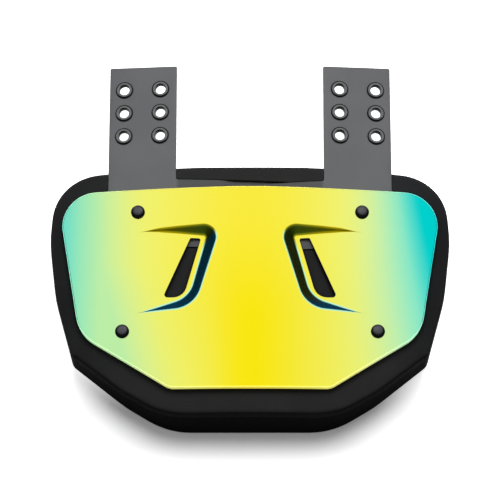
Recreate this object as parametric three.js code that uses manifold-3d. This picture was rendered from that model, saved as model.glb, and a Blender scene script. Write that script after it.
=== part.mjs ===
// A football back plate: two foam layers, a curved plastic plate with two scooped recesses,
// two L-shaped straps with eyelets for lacing, and four rivets.
// Lengths are in millimetres. X runs across the back, +Y towards the shoulders and +Z away
// from the wearer. The origin is the middle of the pad's flat back.
import * as THREE from 'three';
import { mergeVertices } from 'three/addons/utils/BufferGeometryUtils.js';
import Module from 'manifold-3d';

const wasm = await Module();
wasm.setup();
const { degToRad } = THREE.MathUtils;

// Clearance between pieces that lie on or in one another.
const GAP = 0.3;

// Pad: a flat back, upper and lower walls that lean in towards the front, upright side walls,
// and a front face curved about Y.
const PAD_WIDTH = 332;
const PAD_HEIGHT = 221.8;
const PAD_DEPTH = 45;
const FRONT_CURVE_RADIUS = 907;
const FRONT_LAYER = 12;
const FRONT_LAYER_LEAN = degToRad(5);
const BACK_LAYER_LEAN = degToRad(9.5);
const BACK_LAYER_LEAN_FADE = 3;
const FRONT_EDGE_RADIUS = 2.6;
const SEAM_EDGE_RADIUS = 0.9;
const SEAM_STEP = 0.8;
const PAD_CROWN_RADIUS = 375;
const PAD_SHOULDER_RADIUS = 45;
const PAD_SIDE_RADIUS = 120;
const PAD_HIP_RADIUS = 10;
const PAD_FOOT_RADIUS = 67;

// Plate: a shallow dish that stands on its rim on the pad's front face.
const SHELL_WIDTH = 309.6;
const SHELL_HEIGHT = 170.2;
const SHELL_RISE = 8;
const SHELL_WALL = 2.6;
const SHELL_EDGE_RADIUS = 3.6;
const SHELL_CROWN_RADIUS = 600;
const SHELL_SHOULDER_RADIUS = 27.5;
const SHELL_HIP_RADIUS = 34;
const SHELL_FOOT_RADIUS = 14;

// Scooped recesses: level with the plate's face at the outer end, deepest at the inner end.
const SCOOP_LENGTH = 72;
const SCOOP_HEIGHT = 76.4;
const SCOOP_SPREAD = 46;
const SCOOP_BOTTOM = 61.6;
const SCOOP_DEPTH = 6.3;
const SCOOP_WALL = 2;
const SCOOP_CORNER_RADIUS = 10.6;
const SCOOP_BEND_RADIUS = 23.8;
const SCOOP_FOOT_CORNER_RADIUS = 1.6;
const SCOOP_FOOT_BEND_RADIUS = 14;
const SLOT_CORNER_RADIUS = 1;
const SLOT_BEND_RADIUS = 11;
const SLOT_TIP_RADIUS = 2;

// Straps: each one an upright and an arm that runs behind the plate towards the other strap.
const STRAP_WIDTH = 56.3;
const STRAP_THICKNESS = 2.4;
const STRAP_SPREAD = 178.3;
const STRAP_REACH = 83.4;
const STRAP_SINK = 0.2;
const STRAP_CORNER_RADIUS = 1.5;
const ARM_WIDTH = 58.6;
const ARM_STEP_LENGTH = 9;
const ARM_STEP_MARGIN = 3;
const LEFT_ARM = { peek: 9, lean: degToRad(2), pastMiddle: 33 };
const RIGHT_ARM = { peek: 7.7, lean: degToRad(4.4), pastMiddle: 12 };

// Eyelets: two columns of three on each strap.
const EYELET_ROWS = 3;
const EYELET_ROW_SPACING = 20.5;
const EYELET_COLUMN_SPACING = 30.2;
const EYELET_OUTER_MARGIN = 12.3;
const EYELET_TOP_MARGIN = 20.3;
const EYELET_HOLE_RADIUS = 3.9;
const EYELET_BARREL_RADIUS = 4.9;
const EYELET_FLANGE_RADIUS = 7.3;
const EYELET_BEAD_HEIGHT = 1.2;
const EYELET_LIP_HEIGHT = 0.4;
const EYELET_BACK_RADIUS = 6.8;
const EYELET_BACK_HEIGHT = 0.9;
const EYELET_CLEARANCE = 0.25;

// Rivets: a domed head, a shank through plate, strap and front foam, and a hidden flat tail.
// The upper ones stand beside their strap's centre line, the lower ones in from the plate's side.
const RIVET_HEAD_RADIUS = 5.7;
const RIVET_HEAD_HEIGHT = 2.8;
const RIVET_SHANK_RADIUS = 2.4;
const RIVET_TAIL_RADIUS = 5.5;
const RIVET_TAIL_THICKNESS = 1.2;
const RIVET_CLEARANCE = 0.3;
const UPPER_RIVET_OFFSET = 2.65;
const UPPER_RIVET_DROP = 21.7;
const LOWER_RIVET_MARGIN = 51.5;
const LOWER_RIVET_RISE = 47.5;

// Fineness of the faceted surfaces.
const ARC_STEP = degToRad(18);
const STRAIGHT_STEP = 30;
const STATION_STEP = 14;
const ROUND_SIDES = 12;
const EDGE_STEPS = 3;
const DOME_STEPS = 3;
const CAP_RINGS = [0.75, 0.5, 0.25];
const FAR = 400;
const CUTTER_REACH = 50;
// How far the scoop's cutting walls and its pan go on past the brim and the floor, as
// multiples of the scoop's depth.
const SCOOP_CUT_ABOVE = 0.5;
const SCOOP_CUT_BELOW = 1.4;
const SCOOP_PAN_BELOW = 1.5;

// Outlines, right half from top to bottom, as shares of half the width and half the height.
const PAD_CORNERS = [
  { across: 0.35, up: 1, radius: PAD_CROWN_RADIUS },
  { across: 0.968, up: 0.926, radius: PAD_SHOULDER_RADIUS },
  { across: 1, up: 0.429, radius: PAD_SIDE_RADIUS },
  { across: 0.962, up: -0.038, radius: PAD_SIDE_RADIUS },
  { across: 0.875, up: -0.5, radius: PAD_HIP_RADIUS },
  { across: 0.614, up: -0.81, radius: PAD_SIDE_RADIUS },
  { across: 0.402, up: -1, radius: PAD_FOOT_RADIUS },
];
const SHELL_CORNERS = [
  { across: 0, up: 1, radius: SHELL_CROWN_RADIUS },
  { across: 1.028, up: 0.959, radius: SHELL_SHOULDER_RADIUS },
  { across: 0.896, up: -0.451, radius: SHELL_HIP_RADIUS },
  { across: 0.419, up: -1, radius: SHELL_FOOT_RADIUS },
];

// Scoop, as shares of its length from the inner end and of its height from the bottom:
// the brim on the plate's face and the foot of the walls at full depth, corner by corner.
const SCOOP_BRIM = [
  { across: 1, up: 0.008, radius: 0 },
  { across: 1, up: 0.929, radius: 0 },
  { across: 0.005, up: 1, radius: SCOOP_CORNER_RADIUS },
  { across: 0.304, up: 0.067, radius: SCOOP_BEND_RADIUS },
];
const SCOOP_FOOT = [
  { across: 1, up: 0.185, radius: 0 },
  { across: 1, up: 0.825, radius: 0 },
  { across: 0.175, up: 0.882, radius: SCOOP_FOOT_CORNER_RADIUS },
  { across: 0.392, up: 0.247, radius: SCOOP_FOOT_BEND_RADIUS },
];
const SCOOP_DEEPEST = 0.14;
const SCOOP_FADE = 0.9;
const SCOOP_ARC_STEPS = 6;
const SLOT_CORNERS = [
  { across: 0.653, up: 0.192, radius: SLOT_TIP_RADIUS },
  { across: 0.353, up: 0.846, radius: SLOT_CORNER_RADIUS },
  { across: 0.246, up: 0.843, radius: SLOT_CORNER_RADIUS },
  { across: 0.436, up: 0.195, radius: SLOT_BEND_RADIUS },
];

const MATERIALS = {
  foam: new THREE.MeshStandardMaterial({ color: 0x2b2b2e, roughness: 0.9, metalness: 0 }),
  shell: new THREE.MeshStandardMaterial({ color: 0xf0e64a, roughness: 0.25, metalness: 0.6 }),
  strap: new THREE.MeshStandardMaterial({ color: 0x6a6b6f, roughness: 0.55, metalness: 0 }),
  eyelet: new THREE.MeshStandardMaterial({ color: 0x5d5e62, roughness: 0.4, metalness: 0.7 }),
  rivet: new THREE.MeshStandardMaterial({ color: 0x141416, roughness: 0.3, metalness: 0.3 }),
};

// Surfaces that the pieces share.
const padFace = (x) => PAD_DEPTH - FRONT_CURVE_RADIUS + Math.sqrt(FRONT_CURVE_RADIUS ** 2 - x ** 2);
const seamHeight = (x) => padFace(x) - FRONT_LAYER;
const shellFace = (x) => padFace(x) + SHELL_RISE;
const faceTurn = (x) => Math.asin(x / FRONT_CURVE_RADIUS);

// Places that follow from the sizes above.
const shellTop = SHELL_HEIGHT / 2;
const strapTop = PAD_HEIGHT / 2 + STRAP_REACH;
const strapInner = (STRAP_SPREAD - STRAP_WIDTH) / 2;
const strapOuter = (STRAP_SPREAD + STRAP_WIDTH) / 2;
const scoopX = (share) => SCOOP_SPREAD / 2 + share * SCOOP_LENGTH;
const scoopY = (share) => shellTop - SHELL_HEIGHT + SCOOP_BOTTOM + share * SCOOP_HEIGHT;

// Outline helpers: a corner is a point with the radius that rounds it.

function mirroredCorners(rows, width, height) {
  const right = rows.map((row) => ({
    x: row.across * width / 2,
    y: row.up * height / 2,
    radius: row.radius,
  }));
  const left = right.filter((corner) => corner.x > 0).map((corner) => ({ ...corner, x: -corner.x }));
  return [...right, ...left.reverse()];
}

function scoopCorners(rows) {
  return rows.map((row) => ({ x: scoopX(row.across), y: scoopY(row.up), radius: row.radius }));
}

function grownCorners(corners, growth) {
  const turnsLeft = signedArea(corners) > 0;
  const outward = turnsLeft ? growth : -growth;
  return corners.map((corner, i) => {
    const before = corners.at(i - 1);
    const after = corners[(i + 1) % corners.length];
    const into = new THREE.Vector2(corner.x - before.x, corner.y - before.y).normalize();
    const out = new THREE.Vector2(after.x - corner.x, after.y - corner.y).normalize();
    const bend = into.cross(out);
    const reach = outward / (1 + into.dot(out));
    const convex = bend > 0 === turnsLeft;
    return {
      x: corner.x + (into.y + out.y) * reach,
      y: corner.y - (into.x + out.x) * reach,
      radius: Math.max(0, corner.radius + (convex ? growth : -growth)),
    };
  });
}

function signedArea(points) {
  return points.reduce((sum, point, i) => {
    const next = points[(i + 1) % points.length];
    return sum + (point.x * next.y - next.x * point.y) / 2;
  }, 0);
}

// Rounds each corner with an arc; a fixed number of steps gives outlines that match.
function roundedOutline(corners, fixedSteps) {
  const points = [];
  corners.forEach((corner, i) => {
    const at = new THREE.Vector2(corner.x, corner.y);
    const before = corners.at(i - 1);
    const after = corners[(i + 1) % corners.length];
    const into = new THREE.Vector2(corner.x - before.x, corner.y - before.y).normalize();
    const out = new THREE.Vector2(after.x - corner.x, after.y - corner.y).normalize();
    const turn = Math.acos(THREE.MathUtils.clamp(into.dot(out), -1, 1));
    if (corner.radius === 0) {
      points.push(at);
      return;
    }
    const tangent = corner.radius * Math.tan(turn / 2);
    const steps = fixedSteps ?? Math.max(1, Math.ceil(turn / ARC_STEP));
    const side = Math.sign(into.cross(out));
    const start = at.clone().addScaledVector(into, -tangent);
    const centre = new THREE.Vector2(-into.y, into.x).multiplyScalar(side * corner.radius).add(start);
    for (let step = 0; step <= steps; step += 1) {
      points.push(start.clone().rotateAround(centre, side * turn * step / steps));
    }
  });
  return points;
}

function withStraightSteps(points) {
  return points.flatMap((point, i) => {
    const next = points[(i + 1) % points.length];
    const count = Math.ceil(point.distanceTo(next) / STRAIGHT_STEP);
    return Array.from({ length: count }, (_, step) => point.clone().lerp(next, step / count));
  });
}

// The outline moved inwards at each point by the inset that its own x asks for, and the share
// of its wall that faces up or down the pad: 0 at the sides, 1 along the top and the bottom.
function insetRing(outline, inset, height) {
  return outline.map((point, i) => {
    const before = outline.at(i - 1);
    const after = outline[(i + 1) % outline.length];
    const along = after.clone().sub(before).normalize();
    const amount = inset(point.x, Math.abs(along.x));
    const x = point.x - along.y * amount;
    const y = point.y + along.x * amount;
    return new THREE.Vector3(x, y, height(x));
  });
}

// Body helpers.

function closedGeometry(positions, triangles) {
  const geometry = new THREE.BufferGeometry();
  geometry.setAttribute('position', new THREE.Float32BufferAttribute(positions, 3));
  geometry.setIndex(triangles);
  return geometry;
}

function signedVolume(geometry) {
  const position = geometry.getAttribute('position');
  const index = geometry.getIndex();
  const corner = [new THREE.Vector3(), new THREE.Vector3(), new THREE.Vector3()];
  let volume = 0;
  for (let i = 0; i < index.count; i += 3) {
    corner.forEach((point, k) => point.fromBufferAttribute(position, index.getX(i + k)));
    volume += corner[0].dot(corner[1].clone().cross(corner[2])) / 6;
  }
  return volume;
}

function toSolid(source) {
  const bare = source.clone();
  bare.deleteAttribute('normal');
  bare.deleteAttribute('uv');
  const geometry = mergeVertices(bare);
  const triVerts = new Uint32Array(geometry.getIndex().array);
  if (signedVolume(geometry) < 0) {
    triVerts.reverse();
  }
  const vertProperties = new Float32Array(geometry.getAttribute('position').array);
  return new wasm.Manifold(new wasm.Mesh({ numProp: 3, vertProperties, triVerts }));
}

function toGeometry(solid) {
  const { vertProperties, triVerts } = solid.getMesh();
  const geometry = closedGeometry(vertProperties, Array.from(triVerts));
  geometry.computeVertexNormals();
  return geometry;
}

// A body through rings of matching points. Each end closes on its middle through smaller
// rings, whose heights come from the end's own surface. Both ends split their faces along
// the same diagonals, so that two bodies that share a surface stay clear all over it.
function loftedBody(rings, bottomHeight, topHeight) {
  const shrunk = (ring, height) => CAP_RINGS.map((share) => {
    return ring.map((point) => {
      const [x, y] = [point.x * share, point.y * share];
      return new THREE.Vector3(x, y, height(x));
    });
  });
  const all = [
    ...shrunk(rings[0], bottomHeight).reverse(),
    ...rings,
    ...shrunk(rings.at(-1), topHeight),
  ];
  const count = rings[0].length;
  const positions = all.flat().flatMap((point) => point.toArray());
  positions.push(0, 0, bottomHeight(0), 0, 0, topHeight(0));
  const bottomMiddle = all.length * count;
  const topMiddle = bottomMiddle + 1;
  const lastRing = (all.length - 1) * count;
  const triangles = [];
  for (let i = 0; i < count; i += 1) {
    const j = (i + 1) % count;
    triangles.push(bottomMiddle, j, i);
    triangles.push(topMiddle, lastRing + i, lastRing + j);
    for (let ring = 0; ring + 1 < all.length; ring += 1) {
      const [a, b] = [ring * count + i, ring * count + j];
      const [c, d] = [a + count, b + count];
      const split = ring < CAP_RINGS.length ? [a, b, c, b, d, c] : [a, b, d, a, d, c];
      triangles.push(...split);
    }
  }
  return toSolid(closedGeometry(positions, triangles));
}

// A body between two rings of matching points, each end one triangulated face.
function wallBody(lower, upper) {
  const count = lower.length;
  const positions = [...lower, ...upper].flatMap((point) => point.toArray());
  const flat = upper.map((point) => new THREE.Vector2(point.x, point.y));
  const triangles = [];
  THREE.ShapeUtils.triangulateShape(flat, []).forEach(([a, b, c]) => {
    triangles.push(a + count, b + count, c + count);
    triangles.push(a, c, b);
  });
  for (let i = 0; i < count; i += 1) {
    const j = (i + 1) % count;
    triangles.push(i, j, j + count, i, j + count, i + count);
  }
  return toSolid(closedGeometry(positions, triangles));
}

// A plan outline carried straight through every height.
function uprightPrism(outline) {
  const shape = new THREE.Shape(outline);
  const geometry = new THREE.ExtrudeGeometry(shape, { depth: FAR, bevelEnabled: false });
  return toSolid(geometry.translate(0, 0, -FAR / 2));
}

// Everything between two heights that depend on x, carried along Y.
function slab(stations, lowHeight, highHeight) {
  const low = stations.map((x) => new THREE.Vector2(x, lowHeight(x)));
  const high = stations.map((x) => new THREE.Vector2(x, highHeight(x))).reverse();
  const shape = new THREE.Shape([...low, ...high]);
  const geometry = new THREE.ExtrudeGeometry(shape, { depth: 2 * FAR, bevelEnabled: false });
  return toSolid(geometry.rotateX(Math.PI / 2).translate(0, FAR, 0));
}

function stationsBetween(from, to) {
  const count = Math.ceil((to - from) / STATION_STEP);
  return Array.from({ length: count + 1 }, (_, i) => from + (to - from) * i / count);
}

function turnedProfile(profile) {
  const geometry = new THREE.LatheGeometry(profile.map(([r, z]) => new THREE.Vector2(r, z)), ROUND_SIDES);
  return geometry.rotateX(Math.PI / 2);
}

function mirrored(solid) {
  return toSolid(toGeometry(solid).scale(-1, 1, 1));
}

function unionOf(solids) {
  return solids.reduce((joined, solid) => joined.add(solid));
}

function cutBy(solid, cutters) {
  return cutters.reduce((left, cutter) => left.subtract(cutter), solid);
}

// Pad.

const padOutline = withStraightSteps(
  roundedOutline(mirroredCorners(PAD_CORNERS, PAD_WIDTH, PAD_HEIGHT)).reverse(),
);

// The back layer's wall leans in fully along the top and the bottom, and not at the sides.
function seamInset(x, facing) {
  return seamHeight(x) * Math.tan(BACK_LAYER_LEAN) * facing ** BACK_LAYER_LEAN_FADE;
}

function padRing(extraInset, height) {
  return insetRing(padOutline, (x, facing) => seamInset(x, facing) + extraInset, height);
}

function padBackBody() {
  const topHeight = (x) => seamHeight(x) - GAP;
  const rings = [
    insetRing(padOutline, () => 0, () => 0),
    padRing(SEAM_STEP, (x) => topHeight(x) - SEAM_EDGE_RADIUS),
    padRing(SEAM_STEP + SEAM_EDGE_RADIUS, topHeight),
  ];
  return loftedBody(rings, () => 0, topHeight);
}

function padFrontBody() {
  const wall = FRONT_LAYER - FRONT_EDGE_RADIUS;
  const topInset = wall * Math.tan(FRONT_LAYER_LEAN);
  const rings = [
    padRing(SEAM_STEP + SEAM_EDGE_RADIUS, seamHeight),
    padRing(0, (x) => seamHeight(x) + SEAM_EDGE_RADIUS),
  ];
  for (let step = 0; step <= EDGE_STEPS; step += 1) {
    const angle = (step / EDGE_STEPS) * Math.PI / 2;
    const inset = topInset + FRONT_EDGE_RADIUS * (1 - Math.cos(angle));
    const drop = FRONT_EDGE_RADIUS * (1 - Math.sin(angle));
    rings.push(padRing(inset, (x) => padFace(x) - drop));
  }
  return loftedBody(rings, seamHeight, padFace);
}

// Straps, drawn for the right-hand side of the wearer's back seen from behind, where x > 0.

// Top of a strap: flat across its upright, then following the pad's face along the arm.
// The lower arm steps down before it reaches the end of the other strap's arm.
function strapFace(x, stepFrom) {
  const inner = padFace(strapInner);
  const outer = padFace(strapOuter);
  const share = (x - strapInner) / STRAP_WIDTH;
  const level = x > strapInner ? inner + (outer - inner) * share : padFace(x);
  const stepShare = THREE.MathUtils.clamp((stepFrom - x) / ARM_STEP_LENGTH, 0, 1);
  return level - STRAP_SINK - stepShare * (STRAP_THICKNESS + GAP);
}

function strapCorners(arm) {
  const slope = Math.tan(arm.lean);
  const armTop = (x) => shellTop + arm.peek - slope * (strapInner - x);
  const end = -arm.pastMiddle;
  const radius = STRAP_CORNER_RADIUS;
  return [
    { x: strapOuter, y: armTop(strapOuter) - ARM_WIDTH, radius },
    { x: strapOuter, y: strapTop, radius },
    { x: strapInner, y: strapTop, radius },
    { x: strapInner, y: armTop(strapInner), radius },
    { x: end, y: armTop(end), radius },
    { x: end, y: armTop(end) - ARM_WIDTH, radius },
  ];
}

function strapStations(arm, stepFrom, margin) {
  const inBend = stationsBetween(-arm.pastMiddle - margin, strapInner);
  const step = [stepFrom, stepFrom - ARM_STEP_LENGTH];
  const marks = [...inBend, ...step.filter((x) => x > -arm.pastMiddle), strapOuter + margin];
  return marks.sort((a, b) => a - b);
}

function strapSheet(arm, stepFrom, growth, low, high) {
  const outline = roundedOutline(grownCorners(strapCorners(arm), growth));
  const body = slab(strapStations(arm, stepFrom, growth + GAP), low, high);
  return body.intersect(uprightPrism(outline));
}

function strapBody(arm, stepFrom) {
  const low = (x) => strapFace(x, stepFrom) - STRAP_THICKNESS;
  const high = (x) => strapFace(x, stepFrom);
  return strapSheet(arm, stepFrom, 0, low, high);
}

// The room a strap takes in the front foam.
function strapPocket(arm, stepFrom) {
  const low = (x) => strapFace(x, stepFrom) - STRAP_THICKNESS - GAP;
  return strapSheet(arm, stepFrom, GAP, low, () => FAR / 2);
}

// Where each arm starts to step down; the right arm lies on top and stays level.
const leftStepFrom = RIGHT_ARM.pastMiddle + ARM_STEP_MARGIN + ARM_STEP_LENGTH;
const rightStepFrom = -FAR;

// Eyelets.

const uprightTurn = Math.atan2(padFace(strapInner) - padFace(strapOuter), STRAP_WIDTH);

function eyeletPlaces() {
  const outerColumn = strapOuter - EYELET_OUTER_MARGIN;
  return [outerColumn, outerColumn - EYELET_COLUMN_SPACING].flatMap((x) => {
    return Array.from({ length: EYELET_ROWS }, (_, row) => ({
      x,
      y: strapTop - EYELET_TOP_MARGIN - row * EYELET_ROW_SPACING,
      z: strapFace(x, rightStepFrom),
      turn: uprightTurn,
    }));
  });
}

function eyeletGeometry() {
  const beadRadius = (EYELET_BARREL_RADIUS + EYELET_FLANGE_RADIUS) / 2;
  const under = EYELET_CLEARANCE;
  const back = -STRAP_THICKNESS - EYELET_CLEARANCE;
  return turnedProfile([
    [EYELET_HOLE_RADIUS, back - EYELET_BACK_HEIGHT],
    [EYELET_BACK_RADIUS, back - EYELET_BACK_HEIGHT],
    [EYELET_BACK_RADIUS, back],
    [EYELET_BARREL_RADIUS, back],
    [EYELET_BARREL_RADIUS, under],
    [EYELET_FLANGE_RADIUS, under],
    [EYELET_FLANGE_RADIUS, under + EYELET_LIP_HEIGHT],
    [beadRadius, under + EYELET_BEAD_HEIGHT],
    [EYELET_HOLE_RADIUS, under + EYELET_LIP_HEIGHT],
    [EYELET_HOLE_RADIUS, back - EYELET_BACK_HEIGHT],
  ]);
}

// Rivets, with z = 0 on the plate's face.

function rivetPlaces() {
  const upperX = STRAP_SPREAD / 2 + UPPER_RIVET_OFFSET;
  const lowerX = SHELL_WIDTH / 2 - LOWER_RIVET_MARGIN;
  const upper = { name: 'upper', x: upperX, y: shellTop - UPPER_RIVET_DROP };
  const lower = { name: 'lower', x: lowerX, y: LOWER_RIVET_RISE - shellTop };
  return [upper, lower].map((place) => ({
    ...place,
    z: shellFace(place.x),
    turn: faceTurn(place.x),
  }));
}

const rivetTailTop = -SHELL_RISE - FRONT_LAYER - RIVET_CLEARANCE;
const rivetTailEnd = rivetTailTop - RIVET_TAIL_THICKNESS;

function rivetGeometry() {
  const seat = RIVET_CLEARANCE;
  const dome = Array.from({ length: DOME_STEPS }, (_, step) => {
    const angle = (step / DOME_STEPS) * Math.PI / 2;
    return [RIVET_HEAD_RADIUS * Math.cos(angle), seat + RIVET_HEAD_HEIGHT * Math.sin(angle)];
  });
  return turnedProfile([
    [0, rivetTailEnd],
    [RIVET_TAIL_RADIUS, rivetTailEnd],
    [RIVET_TAIL_RADIUS, rivetTailTop],
    [RIVET_SHANK_RADIUS, rivetTailTop],
    [RIVET_SHANK_RADIUS, seat],
    ...dome,
    [0, seat + RIVET_HEAD_HEIGHT],
  ]);
}

// Round holes at places on the curved or sloping faces.

function roundCutter(radius, fromZ, toZ, place) {
  const geometry = new THREE.CylinderGeometry(radius, radius, toZ - fromZ, ROUND_SIDES);
  geometry.rotateX(Math.PI / 2).translate(0, 0, (fromZ + toZ) / 2);
  geometry.rotateY(place.turn).translate(place.x, place.y, place.z);
  return toSolid(geometry);
}

const shankCutters = rivetPlaces().map((place) => {
  return roundCutter(RIVET_SHANK_RADIUS + RIVET_CLEARANCE, -CUTTER_REACH, CUTTER_REACH, place);
});
const tailCutters = rivetPlaces().map((place) => {
  const radius = RIVET_TAIL_RADIUS + RIVET_CLEARANCE;
  return roundCutter(radius, rivetTailEnd - GAP, rivetTailTop + GAP + RIVET_CLEARANCE, place);
});
const eyeletCutters = eyeletPlaces().map((place) => {
  return roundCutter(EYELET_BARREL_RADIUS + EYELET_CLEARANCE, -CUTTER_REACH, CUTTER_REACH, place);
});
const bothSides = (solids) => [...solids, ...solids.map(mirrored)];

// Plate.

const shellOutline = withStraightSteps(
  roundedOutline(mirroredCorners(SHELL_CORNERS, SHELL_WIDTH, SHELL_HEIGHT)).reverse(),
);

function dishBody(inset, foot, face, edgeRadius, edgeSteps) {
  const rings = [insetRing(shellOutline, () => inset, foot)];
  for (let step = 0; step <= edgeSteps; step += 1) {
    const angle = (step / edgeSteps) * Math.PI / 2;
    const turnIn = edgeRadius * (1 - Math.cos(angle));
    const drop = edgeRadius * (1 - Math.sin(angle));
    rings.push(insetRing(shellOutline, () => inset + turnIn, (x) => face(x) - drop));
  }
  return loftedBody(rings, foot, face);
}

function scoopDepthAt(x) {
  const fade = scoopX(SCOOP_FADE);
  return SCOOP_DEPTH * (fade - x) / (fade - scoopX(SCOOP_DEEPEST));
}

// Walls of a scoop carried from one depth to another, both as multiples of its full depth.
function scoopWalls(growth, fromShare, toShare) {
  const outline = (rows) => roundedOutline(grownCorners(scoopCorners(rows), growth), SCOOP_ARC_STEPS);
  const brim = outline(SCOOP_BRIM);
  const foot = outline(SCOOP_FOOT);
  const ringAt = (share) => brim.map((point, i) => {
    const { x, y } = point.clone().lerp(foot[i], share);
    return new THREE.Vector3(x, y, shellFace(x) - share * SCOOP_DEPTH);
  });
  return wallBody(ringAt(toShare), ringAt(fromShare));
}

function aboveScoopFloor(extraDepth) {
  const floor = (x) => shellFace(x) - scoopDepthAt(x) - extraDepth;
  const margin = SCOOP_WALL * 2;
  const stations = stationsBetween(scoopX(0) - margin, scoopX(1) + margin);
  return slab(stations, floor, () => FAR / 2);
}

function shellBody() {
  const outer = dishBody(0, (x) => padFace(x) + GAP, shellFace, SHELL_EDGE_RADIUS, EDGE_STEPS);
  const ceiling = (x) => shellFace(x) - SHELL_WALL;
  const inner = dishBody(SHELL_WALL, (x) => padFace(x) - GAP, ceiling, SHELL_EDGE_RADIUS / 2, 1);
  const cutWalls = scoopWalls(0, -SCOOP_CUT_ABOVE, SCOOP_CUT_BELOW);
  const scoopCut = cutWalls.intersect(aboveScoopFloor(0));
  const panWalls = scoopWalls(SCOOP_WALL, 0, SCOOP_PAN_BELOW);
  const pan = panWalls.intersect(aboveScoopFloor(SCOOP_WALL));
  const slot = uprightPrism(roundedOutline(scoopCorners(SLOT_CORNERS)));
  const pans = unionOf(bothSides([pan])).intersect(outer);
  const dish = outer.subtract(inner).add(pans);
  return cutBy(dish, [...bothSides([scoopCut, slot]), ...bothSides(shankCutters)]);
}

// Assembly.

const part = new THREE.Group();

function addPiece(name, geometry, material, place) {
  const mesh = new THREE.Mesh(geometry, material);
  mesh.name = name;
  if (place) {
    mesh.position.set(place.x, place.y, place.z);
    mesh.rotation.y = place.turn;
  }
  part.add(mesh);
}

const pockets = [
  strapPocket(RIGHT_ARM, rightStepFrom),
  mirrored(strapPocket(LEFT_ARM, leftStepFrom)),
];
const strapCuts = [...eyeletCutters, shankCutters[0]];
const rightStrap = cutBy(strapBody(RIGHT_ARM, rightStepFrom), strapCuts);
const leftStrap = mirrored(cutBy(strapBody(LEFT_ARM, leftStepFrom), strapCuts));

const padBack = cutBy(padBackBody(), bothSides(tailCutters));
const padFront = cutBy(padFrontBody(), [...pockets, ...bothSides(shankCutters)]);

addPiece('pad_back', toGeometry(padBack), MATERIALS.foam);
addPiece('pad_front', toGeometry(padFront), MATERIALS.foam);
addPiece('shell', toGeometry(shellBody()), MATERIALS.shell);
addPiece('left_strap', toGeometry(leftStrap), MATERIALS.strap);
addPiece('right_strap', toGeometry(rightStrap), MATERIALS.strap);

const sides = [{ name: 'left', sign: -1 }, { name: 'right', sign: 1 }];
sides.forEach((side) => {
  const placed = (place) => ({ ...place, x: side.sign * place.x, turn: side.sign * place.turn });
  eyeletPlaces().forEach((place, i) => {
    addPiece(`eyelet_${side.name}_${i + 1}`, eyeletGeometry(), MATERIALS.eyelet, placed(place));
  });
  rivetPlaces().forEach((place) => {
    addPiece(`rivet_${place.name}_${side.name}`, rivetGeometry(), MATERIALS.rivet, placed(place));
  });
});

export default part;
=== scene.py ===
import math

import bmesh
import bpy
import numpy as np
from mathutils import Matrix, Vector, geometry


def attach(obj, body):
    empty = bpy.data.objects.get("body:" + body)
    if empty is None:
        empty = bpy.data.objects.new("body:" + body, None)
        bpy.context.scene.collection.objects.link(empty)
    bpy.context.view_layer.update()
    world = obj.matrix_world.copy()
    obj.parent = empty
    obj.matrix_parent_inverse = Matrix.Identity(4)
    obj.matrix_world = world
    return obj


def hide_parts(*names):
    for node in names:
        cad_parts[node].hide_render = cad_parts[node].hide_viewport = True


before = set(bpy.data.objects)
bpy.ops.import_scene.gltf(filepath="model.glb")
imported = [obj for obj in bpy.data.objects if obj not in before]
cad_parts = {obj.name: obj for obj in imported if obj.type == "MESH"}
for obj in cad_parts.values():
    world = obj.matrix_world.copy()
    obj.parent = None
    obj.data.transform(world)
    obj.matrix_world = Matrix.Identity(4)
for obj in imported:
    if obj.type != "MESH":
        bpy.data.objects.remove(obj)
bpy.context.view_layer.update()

# The room. The plate lies on its back on a wide white table, under one large soft lamp that leans
# towards the shoulders and a little aside. The table glows past the shoulders and weakly in front
# of the plate. The walls are white, and glossy pieces mirror a ceiling that dims to its horizon.
TABLE_SIZE = 8.0
TABLE_DROP = 0.0003
TABLE_WHITE = 0.9
WHITE = (1, 1, 1, 1)
# An eased change is given by where it starts and ends, and by its value at each end.
TABLE_LIT = (-0.095, -0.036, 0.06, 1.0)
TABLE_LIT_BELOW = (-0.15, -0.116, 0.2, 0.0)
ROOM_MIRRORED = (0.42, 0.74, 0.05, 1.0)
WALL_FILL = 0.32
LAMP_AWAY = 2.2
LAMP_LEAN = math.radians(25)
LAMP_ASIDE = math.radians(4)
LAMP_WIDTH = 1.26
LAMP_WATTS = 54


def added(name, data):
    made = bpy.data.objects.new(name, data)
    bpy.context.scene.collection.objects.link(made)
    return made


def node(tree, kind, at, **values):
    made = tree.nodes.new(kind)
    made.location = at
    for name, value in values.items():
        setattr(made, name, value)
    return made


def fill(socket, value):
    """Sets an input to a value, or links it where the value is another node's output."""
    if hasattr(value, "is_output"):
        socket.id_data.links.new(value, socket)
    else:
        socket.default_value = value


def set_inputs(made, **values):
    """Fills a node's inputs by name, with _ for a blank."""
    for name, value in values.items():
        fill(made.inputs[name.replace("_", " ")], value)


def math_node(tree, at, operation, *values):
    made = node(tree, "ShaderNodeMath", at, operation=operation)
    for slot, value in enumerate(values):
        fill(made.inputs[slot], value)
    return made.outputs["Value"]


def mapped(tree, at, value, low, high, to_low=0.0, to_high=1.0, kind="LINEAR"):
    made = node(tree, "ShaderNodeMapRange", at, interpolation_type=kind)
    set_inputs(made, Value=value, From_Min=low, From_Max=high, To_Min=to_low, To_Max=to_high)
    return made.outputs["Result"]


def eased(tree, at, value, *ends):
    return mapped(tree, at, value, *ends, kind="SMOOTHSTEP")


def xyz_of(tree, at, kind="Object"):
    """The X, Y and Z of one kind of texture coordinate."""
    place = node(tree, "ShaderNodeTexCoord", at)
    split = node(tree, "ShaderNodeSeparateXYZ", (at[0] + 200, at[1]))
    set_inputs(split, Vector=place.outputs[kind])
    return split.outputs


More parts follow.
